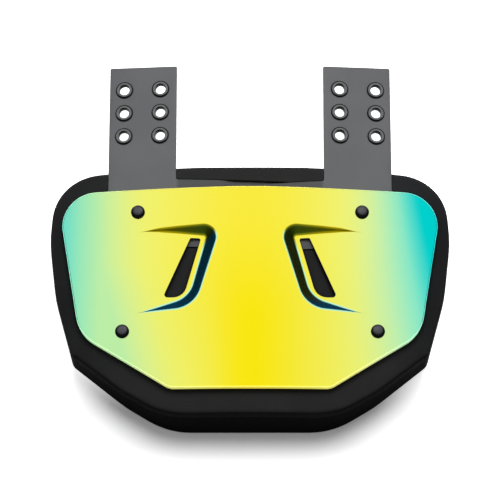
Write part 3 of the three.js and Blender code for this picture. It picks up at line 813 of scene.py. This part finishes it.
# Radius, height over the strap's face, and 1 where painted shade darkens the lacquer.
EYELET_PROFILE = [
    (4.1, -3.35, 1), (4.3, -3.55, 1), (6.5, -3.55, 0), (6.8, -3.35, 0), (6.8, -2.9, 0), (6.6, -2.65, 1),
    (4.9, -2.65, 1), (4.9, 0.2, 1), (7.1, 0.2, 1), (7.3, 0.3, 1), (7.25, 0.5, 1), (6.6, 0.56, 1),
    (6.45, 0.8, 0.6), (6.25, 1.1, 0), (5.85, 1.36, 0), (5.35, 1.45, 0), (4.85, 1.36, 0), (4.45, 1.1, 0),
    (4.2, 0.65, 0.5), (4.12, 0.1, 1), (4.1, -0.8, 1), (4.1, -2.0, 1),
]


def turned(name, profile, sides, value_names=()):
    """A body turned about Z from (radius, height) points; it closes on the axis or on itself."""
    body = Body()
    rings = []
    for radius, height, *value in profile:
        ring = circle(0, 0, radius, sides) if radius else [Vector((0, 0))] * sides
        rings.append([body.point(p.x, p.y, height, value) for p in ring])
    if profile[0][0] > 0:
        rings.append(rings[0])
    for below, above in zip(rings, rings[1:]):
        body.band(above, below)
    return body.finish(name, sharp=TURNED_SHARP, value_names=value_names)


def geometry_tree(name, inputs):
    tree = bpy.data.node_groups.new(name, "GeometryNodeTree")
    tree.interface.new_socket("Geometry", in_out="INPUT", socket_type="NodeSocketGeometry")
    for label, kind in inputs.items():
        tree.interface.new_socket(label, in_out="INPUT", socket_type=kind)
    tree.interface.new_socket("Geometry", in_out="OUTPUT", socket_type="NodeSocketGeometry")
    return tree, node(tree, "NodeGroupInput", (-1200, 0)).outputs


def copies_on(tree, across, points, source, **turned_by):
    """One copy of an object on each point."""
    copied = node(tree, "GeometryNodeObjectInfo", (across, -250))
    put = node(tree, "GeometryNodeInstanceOnPoints", (across + 250, 0))
    set_inputs(copied, Object=source)
    set_inputs(put, Points=points, Instance=copied.outputs["Geometry"], **turned_by)
    return put.outputs["Instances"]


def plain_mesh_out(tree, across, copies, lacquer):
    """Ends a tree: the copies become real meshes in one lacquer."""
    real = node(tree, "GeometryNodeRealizeInstances", (across, 0))
    painted = node(tree, "GeometryNodeSetMaterial", (across + 200, 0))
    leave = node(tree, "NodeGroupOutput", (across + 400, 0))
    set_inputs(real, Geometry=copies)
    set_inputs(painted, Geometry=real.outputs["Geometry"], Material=lacquer)
    set_inputs(leave, Geometry=painted.outputs["Geometry"])


def grown_by(piece, tree, values):
    """Runs a node tree on a piece with its named inputs, and leaves a plain mesh."""
    grown = piece.modifiers.new("grown", "NODES")
    grown.node_group = tree
    named = {item.name: item.identifier for item in tree.interface.items_tree if item.in_out == "INPUT"}
    for label, value in values.items():
        grown[named[label]] = value
    return applied(piece)


tree, entry = geometry_tree("eyelet_lacing", {
    "Eyelet": "NodeSocketObject",
    "Rows": "NodeSocketInt",
    "Row Spacing": "NodeSocketFloat",
    "Column Spacing": "NodeSocketFloat",
    "Middle Across": "NodeSocketFloat",
    "Middle Up": "NodeSocketFloat",
    "Middle Height": "NodeSocketFloat",
    "Strap Lean": "NodeSocketFloat",
    "Lacquer": "NodeSocketMaterial",
})
eyelet_tree = tree
rows_less = math_node(tree, (-950, -150), "SUBTRACT", entry["Rows"], 1)
pattern_height = math_node(tree, (-780, -150), "MULTIPLY", rows_less, entry["Row Spacing"])
pattern = node(tree, "GeometryNodeMeshGrid", (-600, 0))
set_inputs(pattern, Size_X=entry["Column Spacing"], Size_Y=pattern_height)
set_inputs(pattern, Vertices_X=2, Vertices_Y=entry["Rows"])
lacing = copies_on(tree, -600, pattern.outputs["Mesh"], entry["Eyelet"])
joined = node(tree, "GeometryNodeJoinGeometry", (300, 0))
for side, height in ((1, 150), (-1, -150)):
    lean = math_node(tree, (-350, height + 250), "MULTIPLY", entry["Strap Lean"], side)
    across = math_node(tree, (-350, height + 100), "MULTIPLY", entry["Middle Across"], side)
    turn_by = node(tree, "ShaderNodeCombineXYZ", (-150, height + 250))
    move_to = node(tree, "ShaderNodeCombineXYZ", (-150, height + 100))
    put = node(tree, "GeometryNodeTransform", (80, height))
    set_inputs(turn_by, Y=lean)
    set_inputs(move_to, X=across, Y=entry["Middle Up"], Z=entry["Middle Height"])
    set_inputs(put, Geometry=lacing, Rotation=turn_by.outputs["Vector"])
    set_inputs(put, Translation=move_to.outputs["Vector"])
    set_inputs(joined, Geometry=put.outputs["Geometry"])
plain_mesh_out(tree, 500, joined.outputs["Geometry"], entry["Lacquer"])


def point_value(tree, at, name):
    return node(tree, "ShaderNodeAttribute", at, attribute_name=name).outputs["Fac"]


eyelet_lacquer, tree, shader, patch = grained_material("eyelet_lacquer", *EYELET_GRAIN)
# Painted shade: the lip, the bore and faces turned towards the lower end, away from the lamp, are painted
# dark.
lip_shade = point_value(tree, (-600, 300), "shaded_lip")
facing = xyz_of(tree, (-1100, 500), "Normal")
facing_down_shade = eased(tree, (-700, 500), facing["Y"], *EYELET_DOWN_SHADE)
dark = math_node(tree, (-500, 400), "MAXIMUM", lip_shade, facing_down_shade)
colour = mix_colour(tree, (-300, 200), dark, EYELET_GREY, EYELET_SHADE_BLACK)
sheen = math_node(tree, (-300, -50), "MULTIPLY_ADD", dark, *EYELET_SHEEN)
set_inputs(shader, Base_Color=colour, Roughness=EYELET_ROUGHNESS, Specular_IOR_Level=sheen)

one_eyelet = turned("one_eyelet", EYELET_PROFILE, EYELET_SIDES, ("shaded_lip",))
eyelets = added("eyelets", bpy.data.meshes.new("eyelets"))
middle_x = strap_outer - EYELET_OUTER_MARGIN - EYELET_COLUMN_SPACING / 2
middle_y = strap_top - EYELET_TOP_MARGIN - (EYELET_ROWS - 1) * EYELET_ROW_SPACING / 2
grown_by(eyelets, eyelet_tree, {
    "Eyelet": one_eyelet,
    "Rows": EYELET_ROWS,
    "Row Spacing": EYELET_ROW_SPACING / 1000,
    "Column Spacing": EYELET_COLUMN_SPACING / math.cos(eyelet_lean) / 1000,
    "Middle Across": middle_x / 1000,
    "Middle Up": middle_y / 1000,
    "Middle Height": strap_face(middle_x, RIGHT_ARM) / 1000,
    "Strap Lean": eyelet_lean,
    "Lacquer": eyelet_lacquer,
})
bpy.data.objects.remove(one_eyelet)
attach(eyelets, "root")
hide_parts(*[f"eyelet_{side}_{k}" for side in ("left", "right") for k in range(1, 7)])

# The plate: one shallow dish pressed from rigid plastic, with a rim turned down onto the foam,
# with a painted highlight and a glow seen by the camera along its edge, and a scooped recess with
# a slot on each side whose edge is painted black as painted shade. Its film runs from yellow in
# the middle to cyan at the sides; the green to blue on the scoops' steep walls is partly the film
# and partly painted reflection and shade.
SHELL_RISE = 8
SHELL_WALL = 2.6
SHELL_ROUND = 3.6
RIM_ROUND = 1.3
RIM_HIGHLIGHT_RINGS = slice(3, 10)
RIM_TOP_HIGHLIGHT = 0.6
SHELL_CORNERS = [(0, 1, 600), (1.028, 0.959, 27.5), (0.896, -0.451, 34), (0.419, -1, 14)]
SCOOP_LENGTH = 72
SCOOP_HEIGHT = 76.4
SCOOP_SPREAD = 46
SCOOP_BOTTOM = 61.6
SCOOP_DEPTH = 6.3
SCOOP_WALL = 2
SCOOP_BRIM = [
    (1, 0.008, 0), (1, 0.9, 0), (0.72, 0.945, 0), (0.5, 0.965, 0), (0.005, 1, 10.6), (0.304, 0.067, 23.8),
]
SCOOP_FOOT = [
    (1, 0.185, 0), (1, 0.82, 0), (0.72, 0.844, 0), (0.5, 0.86, 0), (0.175, 0.882, 1.6), (0.392, 0.247, 14),
]
SCOOP_ARC_STEPS = 14
SCOOP_STEP = 2.0
HALVINGS = 40
THINS_WITHIN = 2
SOFT_STEPS = 5
WALL_STEPS = 4
SOFT_SHARE = 0.45
STEEP_REACH = 1.2
TIP_REACH = 0.6
BRIM_CORNER = (0.12, 0.9)
CORNER_FADE = 6
SCOOP_DEEPEST = 0.14
SCOOP_FADE = 0.915
SCOOP_FADE_SOFT = 0.6
SCOOP_BRIM_SOFT = 1.1
SCOOP_FOOT_SOFT = 1.2
SLOT_CORNERS = [(0.653, 0.192, 2), (0.353, 0.846, 1), (0.246, 0.843, 1), (0.436, 0.195, 11)]
SLOT_EDGE = 0.7
SLOT_ROUND = ((1, 0), (0.62, 0.08), (0.29, 0.29), (0.08, 0.62), (0, 1))
SLOT_STEP = 3
SLOT_ARC_STEP = math.radians(15)
RIM_STEPS = 7
RIM_FOOT = ((0, 2.8), (0, 1.6), (0.15, 0.4), (0.5, 0.3), (SHELL_WALL, 0.3))
RIM_HIGHLIGHT_FACING = (0.25, 0.4)
PLATE_STEP = 4
PLATE_REACH = 152
PLATE_CLEAR = 1.3


def shell_face(x):
    return pad_face(x) + SHELL_RISE


def scoop_place(rows):
    bottom = SCOOP_BOTTOM - shell_top
    return [(SCOOP_SPREAD / 2 + a * SCOOP_LENGTH, bottom + u * SCOOP_HEIGHT, r) for a, u, r in rows]


def floor_depth(x):
    fade = SCOOP_SPREAD / 2 + SCOOP_FADE * SCOOP_LENGTH
    deepest = SCOOP_SPREAD / 2 + SCOOP_DEEPEST * SCOOP_LENGTH
    depth = SCOOP_DEPTH * (fade - x) / (fade - deepest)
    if abs(depth) < SCOOP_FADE_SOFT:
        return (depth + SCOOP_FADE_SOFT) ** 2 / (4 * SCOOP_FADE_SOFT)
    return max(0, depth)


def wall_columns():
    """Matching points down the scoop's brim and foot, from one faded end to the other."""
    brim = rounded(scoop_place(SCOOP_BRIM), arc_count=SCOOP_ARC_STEPS)
    foot = rounded(scoop_place(SCOOP_FOOT), arc_count=SCOOP_ARC_STEPS)
    pairs = list(zip(brim, foot))
    pairs = pairs[1:] + pairs[:1]
    stepped = []
    for (b0, f0), (b1, f1) in zip(pairs, pairs[1:]):
        count = max(1, math.ceil((b1 - b0).length / SCOOP_STEP))
        stepped += [(b0.lerp(b1, k / count), f0.lerp(f1, k / count)) for k in range(count)]
    stepped.append(pairs[-1])
    return [(b, f) for b, f in stepped if floor_depth(b.x) > 0]


def wall_profile(brim, foot):
    """Points across one wall: place, depth and how steep it is, from the face to the floor."""
    across = foot - brim
    width = across.length
    slope = SCOOP_DEPTH / width
    low, high = 0.0, 1.0
    for _ in range(HALVINGS):
        share = (low + high) / 2
        if share * SCOOP_DEPTH < floor_depth((brim + across * share).x):
            low = share
        else:
            high = share
    reach = low * width
    soft_top = min(SCOOP_BRIM_SOFT, reach * SOFT_SHARE)
    soft_foot = min(SCOOP_FOOT_SOFT, reach * SOFT_SHARE)
    marks = [-soft_top + 2 * soft_top * k / SOFT_STEPS for k in range(SOFT_STEPS + 1)]
    straight = reach - soft_foot - soft_top
    marks += [soft_top + straight * k / WALL_STEPS for k in range(1, WALL_STEPS)]
    marks += [reach - soft_foot + 2 * soft_foot * k / SOFT_STEPS for k in range(SOFT_STEPS + 1)]
    profile = []
    for i, mark in enumerate(marks):
        place = brim + across * (mark / width)
        floor = floor_depth(place.x)
        if i == 0:
            depth = 0
        elif i == len(marks) - 1:
            depth = floor
        elif mark < soft_top:
            depth = slope * (mark + soft_top) ** 2 / (4 * soft_top)
        else:
            wall = slope * mark
            soft = max(1e-6, slope * soft_foot)
            h = clamped(0.5 + 0.5 * (floor - wall) / soft)
            depth = floor + (wall - floor) * h - soft * h * (1 - h)
        steep = clamped((mark + soft_top) / (2 * soft_top))
        steep = min(steep, max(0, (reach + soft_foot - mark) / (2 * soft_foot)))
        profile.append((place, depth, steep * min(1, reach / STEEP_REACH)))
    return profile


walls = [wall_profile(brim, foot) for brim, foot in wall_columns()]
tips = []
for (first, second) in ((walls[0], walls[1]), (walls[-1], walls[-2])):
    ahead = first[0][0] + (first[0][0] - second[0][0]) * TIP_REACH
    tips.append([(ahead, 0.0, 0.0)] * len(first))
walls = [tips[0]] + walls + [tips[1]]
brim_side = [column[0][0] for column in walls]
floor_side = [column[-1][0] for column in walls]
wall_loop = brim_side + floor_side[-2:0:-1]
slot_loop = straight_steps(rounded(scoop_place(SLOT_CORNERS), SLOT_ARC_STEP), SLOT_STEP)
if sum(a.x * b.y - b.x * a.y for a, b in zip(slot_loop, slot_loop[1:])) > 0:
    slot_loop.reverse()


def flipped(loop):
    return [Vector((-p.x, p.y)) for p in reversed(loop)]


def plate_body():
    outline = straight_steps(rounded(both_halves(SHELL_CORNERS, SHELL_WIDTH, SHELL_HEIGHT)), PLATE_STEP)
    rim = [ring_at(outline, SHELL_ROUND, shell_face)]
    for inset, drop in reversed(quarter_round(RIM_ROUND, RIM_STEPS)):
        rim.append(ring_at(outline, inset, lambda x: shell_face(x) - drop))
    for inset, height in RIM_FOOT:
        rim.append(ring_at(outline, inset, lambda x: pad_face(x) + height))
    for inset in (SHELL_WALL, SHELL_ROUND):
        rim.append(ring_at(outline, inset, lambda x: shell_face(x) - SHELL_WALL))

    known = {}
    for column in walls:
        for place, depth, steep in column:
            for side in (1, -1):
                known[(round(side * place.x, 4), round(place.y, 4))] = depth
    scoop_loops = [floor_side, flipped(floor_side)]

    def depths_at(points):
        depths = []
        in_scoop = inside(scoop_loops, np.array([(p.x, p.y) for p in points]))
        for p, within in zip(points, in_scoop):
            flat_depth = floor_depth(abs(p.x)) if within else 0.0
            depths.append(known.get((round(p.x, 4), round(p.y, 4)), flat_depth))
        return depths

    def under_height(x, depth):
        wall = SHELL_WALL - (SHELL_WALL - SCOOP_WALL) * min(1, depth / THINS_WITHIN)
        return max(shell_face(x) - depth - wall, pad_face(x) + LAYER_GAP)

    def slot_top(x):
        return shell_face(x) - floor_depth(abs(x))

    def slot_under(x):
        return under_height(x, floor_depth(abs(x)))

    slot_rings = []
    for loop in (slot_loop, flipped(slot_loop)):
        rings = []
        for inset, drop in SLOT_ROUND:
            rings.append(ring_at(loop, inset * SLOT_EDGE, lambda x: slot_top(x) - drop * SLOT_EDGE))
        rings += [ring_at(loop, inset, slot_under) for inset in (0, SLOT_EDGE)]
        slot_rings.append(rings)

    body = Body()
    loops = [rim[0], wall_loop, flipped(wall_loop)] + [rings[0] for rings in slot_rings]
    columns = list(np.arange(-PLATE_REACH, PLATE_REACH + 0.1, PLATE_STEP))
    places, triangles = filled(loops, columns, PLATE_STEP, PLATE_CLEAR)
    depths = depths_at(places)
    tops = [shell_face(p.x) - depth for p, depth in zip(places, depths)]
    unders = [under_height(p.x, depth) for p, depth in zip(places, depths)]
    body.two_faces(places, triangles, tops, unders)
    for rings in [rim] + slot_rings:
        body.bands(rings)
    # The rim's painted highlight: strongest along the lower edge, weaker along the upper, none up the
    # sides.
    for ring in rim[RIM_HIGHLIGHT_RINGS]:
        for i, p in enumerate(ring):
            along = (Vector(ring[(i + 1) % len(ring)][:2]) - Vector(ring[i - 1][:2])).normalized()
            highlight_share = clamped((abs(along.x) - RIM_HIGHLIGHT_FACING[0]) / RIM_HIGHLIGHT_FACING[1])
            body.values[body.point(*p)] = (0, 0, highlight_share * (1 if along.x > 0 else RIM_TOP_HIGHLIGHT), 0)
    # Painted shade: the slots' rounded edges are painted black.
    for rings in slot_rings:
        for p in [p for ring in rings[1:] for p in ring]:
            body.values[body.point(*p)] = (0, 0, 0, 1)
    brim_corner = SCOOP_SPREAD / 2 + BRIM_CORNER[0] * SCOOP_LENGTH
    corner_height = SCOOP_BOTTOM - shell_top + BRIM_CORNER[1] * SCOOP_HEIGHT
    for side in (1, -1):
        grids = []
        for column in walls:
            line = []
            for place, depth, steep in column:
                past_corner = (brim_corner - place.x) / CORNER_FADE
                turned_away = clamped(past_corner + (corner_height - place.y) / CORNER_FADE)
                x = side * place.x
                top = body.point(x, place.y, shell_face(x) - depth)
                body.values[top] = (steep, turned_away, 0, 0)
                line.append((top, body.point(x, place.y, under_height(x, depth))))
            grids.append(line)
        for one, two in zip(grids, grids[1:]):
            for k in range(len(one) - 1):
                body.face(one[k][0], two[k][0], two[k + 1][0], one[k + 1][0])
                body.face(one[k + 1][1], two[k + 1][1], two[k][1], one[k][1])
    return body


# Place across the plate, from -1 at its left edge to 1 at its right, and the film there.
FILM_COLOURS = [
    (-1.0, (100, 222, 205)),
    (-0.9, (150, 235, 188)),
    (-0.74, (205, 242, 160)),
    (-0.56, (243, 244, 108)),
    (-0.3, (247, 237, 70)),
    (-0.1, (252, 233, 14)),
    (0.1, (252, 233, 14)),
    (0.3, (247, 237, 66)),
    (0.54, (240, 245, 116)),
    (0.72, (194, 242, 178)),
    (0.86, (135, 237, 203)),
    (0.95, (5, 212, 206)),
    (1.0, (0, 210, 206)),
]
FILM_PALE = (255, 249, 115)
FILM_GRAIN = (300, 9, 0.000012)
FILM_ROUGHNESS = (0.22, 0.27)
FILM_RIGHT_SIDE = (0.02, 0.15)
FILM_LEFT_SIDE = (-0.05, 0.0, 1.0, 0.0)
FILM_LOWER = 0.02
FILM_SLANT = 0.18
FILM_LEFT_SLANT = 0.25
FILM_LEFT_END = -0.122
FILM_PALE_TOP = (-0.03, 0.08, 0.0, 0.28)
FILM_PALE_MIDDLE = (0.08, 0.135, 1.0, 0.0)
RIM_HIGHLIGHT_COLOUR = (255, 255, 225)
RIM_HIGHLIGHT_SHARE = 0.12
RIM_PLAIN = 0.85
RIM_GLOW = 0.46
SLOT_SHADE_BLACK = (0.003, 0.003, 0.003, 1)
RIGHT_HALF = (-0.001, 0.001)
UPPER_WALL = (-0.018, -0.006)
NEAR_CORNER = (0.035, 0.075, 1.0, 0.0)
ON_WALL = (0.0, 0.3)
# How steep a scoop's wall is, from 0 to 1, and its colour: the film's shift with painted reflection in it,
# pale highlight lines where the wall bends and dark where it would mirror the dim room.
WALL_COLOURS = [
    (0.0, (249, 240, 110)),
    (0.1, (228, 246, 175)),
    (0.35, (200, 250, 215)),
    (0.62, (165, 245, 225)),
    (0.84, (50, 140, 178)),
    (1.0, (40, 138, 190)),
]
RIGHT_WALL_COLOURS = [
    (0.0, (249, 240, 110)),
    (0.1, (228, 246, 175)),
    (0.35, (195, 248, 205)),
    (0.58, (150, 230, 190)),
    (0.75, (112, 130, 70)),
    (1.0, (112, 126, 60)),
]
# The upper wall, turned away from the lamp, is painted dark olive and green as painted shade.
TOP_WALL_COLOURS = [
    (0.0, (249, 230, 18)),
    (0.4, (165, 145, 5)),
    (1.0, (125, 122, 5)),
]
TOP_WALL_GREEN = (82, 105, 26)


def linear(colour):
    share = [c / 255 for c in colour]
    return [c / 12.92 if c <= 0.04045 else ((c + 0.055) / 1.055) ** 2.4 for c in share] + [1.0]


def colour_ramp(tree, at, value, stops, low=0.0, high=1.0, blend="LINEAR"):
    ramp = node(tree, "ShaderNodeValToRGB", at)
    ramp.color_ramp.interpolation = blend
    elements = ramp.color_ramp.elements
    while len(elements) < len(stops):
        elements.new(0.5)
    for element, (position, colour) in zip(elements, stops):
        element.position = (position - low) / (high - low)
    for element, (position, colour) in zip(elements, stops):
        element.color = linear(colour)
    set_inputs(ramp, Fac=value)
    return ramp.outputs["Color"]


plate_film, tree, shader, patch = grained_material("plate_film", *FILM_GRAIN)
place = xyz_of(tree, (-2200, 300))
right_side = eased(tree, (-1800, 500), place["X"], *FILM_RIGHT_SIDE)
slant = math_node(tree, (-1600, 500), "MULTIPLY", right_side, place["Y"])
slanted = math_node(tree, (-1400, 400), "MULTIPLY_ADD", slant, FILM_SLANT, place["X"])
left_side = eased(tree, (-1800, 750), place["X"], *FILM_LEFT_SIDE)
lower = math_node(tree, (-1800, 950), "SUBTRACT", place["Y"], FILM_LOWER)
below = math_node(tree, (-1600, 950), "MINIMUM", lower, 0.0)
left_slant = math_node(tree, (-1400, 750), "MULTIPLY", left_side, below)
lowered = math_node(tree, (-1200, 650), "MULTIPLY_ADD", left_slant, FILM_LEFT_SLANT, slanted)
left_end = math_node(tree, (-1200, 850), "MINIMUM", slanted, FILM_LEFT_END)
slanted = math_node(tree, (-1000, 650), "MAXIMUM", lowered, left_end)
across = mapped(tree, (-1200, 400), slanted, -SHELL_WIDTH / 2000, SHELL_WIDTH / 2000)
film = colour_ramp(tree, (-1000, 400), across, FILM_COLOURS, -1, 1, "B_SPLINE")
high_up = eased(tree, (-1400, 100), place["Y"], *FILM_PALE_TOP)
sideways = math_node(tree, (-1600, -50), "ABSOLUTE", place["X"])
middle = eased(tree, (-1400, -50), sideways, *FILM_PALE_MIDDLE)
paler = math_node(tree, (-1200, 100), "MULTIPLY", high_up, middle)
face_colour = mix_colour(tree, (-700, 400), paler, film, linear(FILM_PALE))

steep = point_value(tree, (-1200, -200), "wall_steep")
left_wall, right_wall, top_wall = [
    colour_ramp(tree, (-1000, -200 - 250 * k), steep, stops)
    for k, stops in enumerate((WALL_COLOURS, RIGHT_WALL_COLOURS, TOP_WALL_COLOURS))
]
right_half = eased(tree, (-1400, -700), place["X"], *RIGHT_HALF)
upper_wall = eased(tree, (-1400, -950), place["Y"], *UPPER_WALL)
right_upper = math_node(tree, (-1200, -800), "MULTIPLY", right_half, upper_wall)
side_wall = mix_colour(tree, (-850, -200), right_upper, left_wall, right_wall)
near_corner = eased(tree, (-1200, -1100), sideways, *NEAR_CORNER)
greener = math_node(tree, (-1000, -1100), "MULTIPLY", near_corner, steep)
top_wall = mix_colour(tree, (-850, -700), greener, top_wall, linear(TOP_WALL_GREEN))
away = point_value(tree, (-1200, -450), "wall_away")
wall_colour = mix_colour(tree, (-700, -200), away, top_wall, side_wall)
on_wall = eased(tree, (-700, 50), steep, *ON_WALL)
colour = mix_colour(tree, (-400, 200), on_wall, face_colour, wall_colour)

# Painted highlight: the rim is painted paler, made less metallic, and glows to camera rays only.
rim = point_value(tree, (-400, 500), "rim_highlight")
slot_edge_shade = point_value(tree, (-200, 950), "slot_edge_shade")
rim_share = math_node(tree, (-300, 500), "MULTIPLY", rim, RIM_HIGHLIGHT_SHARE)
highlighted = mix_colour(tree, (-200, 350), rim_share, colour, linear(RIM_HIGHLIGHT_COLOUR))
# Painted shade at the slot edges: black and not metallic.
finished = mix_colour(tree, (0, 350), slot_edge_shade, highlighted, SLOT_SHADE_BLACK)
metal = math_node(tree, (-200, 550), "MULTIPLY_ADD", rim, -RIM_PLAIN, 1.0)
outside_slot_shade = math_node(tree, (0, 750), "SUBTRACT", 1.0, slot_edge_shade)
metal = math_node(tree, (0, 550), "MULTIPLY", metal, outside_slot_shade)
ray = node(tree, "ShaderNodeLightPath", (-600, 900)).outputs
seen_glow = math_node(tree, (-400, 750), "MULTIPLY", ray["Is Camera Ray"], RIM_GLOW)
edge_glow = math_node(tree, (-200, 750), "MULTIPLY", rim, seen_glow)
gloss = mapped(tree, (-300, -50), patch, 0.0, 1.0, *FILM_ROUGHNESS)
set_inputs(shader, Base_Color=finished, Metallic=metal, Roughness=gloss)
set_inputs(shader, Emission_Color=highlighted, Emission_Strength=edge_glow)

PLATE_VALUES = ("wall_steep", "wall_away", "rim_highlight", "slot_edge_shade")
plate = plate_body().finish("plate", sharp=SHEET_SHARP, value_names=PLATE_VALUES)
plate.data.materials.append(plate_film)
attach(plate, "root")
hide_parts("shell")

# The rivets: four black domed steel rivets, with a patchy painted highlight on the crown where it
# faces the lamp. The head sits on the plate, the shank goes through plate, strap and front foam,
# and a flat tail is set behind it.
RIVET_TAIL_TOP = -SHELL_RISE - FRONT_LAYER - LAYER_GAP
RIVET_TAIL_END = RIVET_TAIL_TOP - 1.2
# Radius, and height over the plate's face.
RIVET_PROFILE = [
    (0, RIVET_TAIL_END), (5.5, RIVET_TAIL_END), (5.5, RIVET_TAIL_TOP), (2.4, RIVET_TAIL_TOP),
    (2.4, 0.3), (5.3, 0.3), (5.6, 0.4), (5.7, 0.7), (5.62, 1.15), (5.35, 1.65), (4.85, 2.15), (4.1, 2.6),
    (3.2, 2.87), (2.1, 3.02), (1.0, 3.09), (0, 3.1),
]
RIVET_SIDES = 36
RIVET_BLACK = (0.003, 0.003, 0.0035, 1)
RIVET_HIGHLIGHT = (0.034, 0.034, 0.042, 1)
RIVET_GRAIN = (1500, 120, 0.00004)
RIVET_FACING = (0.35, 0.94)
RIVET_CROWN = (0.78, 0.99)
RIVET_PATCHY = (0.4, 0.6)
RIVET_SHEEN = (0.75, 0.05)
RIVET_ROUGHNESS = 0.3

tree, entry = geometry_tree("rivets_on_plate", {
    "Rivet": "NodeSocketObject",
    "Face Radius": "NodeSocketFloat",
    "Face Height": "NodeSocketFloat",
    "Lacquer": "NodeSocketMaterial",
})
rivet_tree = tree
radius = entry["Face Radius"]
position = node(tree, "GeometryNodeInputPosition", (-1200, -300))
apart = node(tree, "ShaderNodeSeparateXYZ", (-1000, -300))
set_inputs(apart, Vector=position.outputs["Position"])
across = apart.outputs["X"]
squared = math_node(tree, (-800, -400), "MULTIPLY", across, across)
radius_squared = math_node(tree, (-800, -200), "MULTIPLY", radius, radius)
under_root = math_node(tree, (-600, -300), "SUBTRACT", radius_squared, squared)
root = math_node(tree, (-450, -300), "POWER", under_root, 0.5)
fallen = math_node(tree, (-300, -300), "SUBTRACT", root, radius)
height = math_node(tree, (-150, -300), "ADD", fallen, entry["Face Height"])
share = math_node(tree, (-600, -550), "DIVIDE", across, radius)
lean = math_node(tree, (-450, -550), "ARCSINE", share)
lift = node(tree, "ShaderNodeCombineXYZ", (0, -300))
turn_by = node(tree, "ShaderNodeCombineXYZ", (0, -550))
lifted = node(tree, "GeometryNodeSetPosition", (200, 0))
set_inputs(lift, Z=height)
set_inputs(turn_by, Y=lean)
set_inputs(lifted, Geometry=entry["Geometry"], Offset=lift.outputs["Vector"])
turned_by = turn_by.outputs["Vector"]
heads = copies_on(tree, 200, lifted.outputs["Geometry"], entry["Rivet"], Rotation=turned_by)
plain_mesh_out(tree, 650, heads, entry["Lacquer"])

rivet_lacquer, tree, shader, patch = grained_material("rivet_lacquer", *RIVET_GRAIN)
facing = xyz_of(tree, (-1500, 400), "Normal")
# Painted highlight: the crown turned towards the lamp is painted lighter, with more sheen.
upward = math_node(tree, (-1100, 500), "MULTIPLY", facing["Z"], RIVET_FACING[1])
turned_up = math_node(tree, (-900, 500), "MULTIPLY_ADD", facing["Y"], RIVET_FACING[0], upward)
lamp_facing = eased(tree, (-700, 500), turned_up, *RIVET_CROWN)
patchy = math_node(tree, (-700, 300), "MULTIPLY_ADD", patch, *RIVET_PATCHY)
crown_highlight = math_node(tree, (-500, 200), "MULTIPLY", lamp_facing, patchy)
colour = mix_colour(tree, (-300, 200), crown_highlight, RIVET_BLACK, RIVET_HIGHLIGHT)
sheen = math_node(tree, (-300, -50), "MULTIPLY_ADD", lamp_facing, *RIVET_SHEEN)
set_inputs(shader, Base_Color=colour, Roughness=RIVET_ROUGHNESS, Specular_IOR_Level=sheen)

one_rivet = turned("one_rivet", RIVET_PROFILE, RIVET_SIDES)
rivet_mesh = bpy.data.meshes.new("rivets")
rivet_places = [(side * x / 1000, y / 1000, 0) for x, y in (upper_rivet, lower_rivet) for side in (-1, 1)]
rivet_mesh.from_pydata(rivet_places, [], [])
rivets = added("rivets", rivet_mesh)
grown_by(rivets, rivet_tree, {
    "Rivet": one_rivet,
    "Face Radius": FRONT_CURVE / 1000,
    "Face Height": (PAD_DEPTH + SHELL_RISE) / 1000,
    "Lacquer": rivet_lacquer,
})
bpy.data.objects.remove(one_rivet)
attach(rivets, "root")
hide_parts("rivet_upper_left", "rivet_upper_right", "rivet_lower_left", "rivet_lower_right")
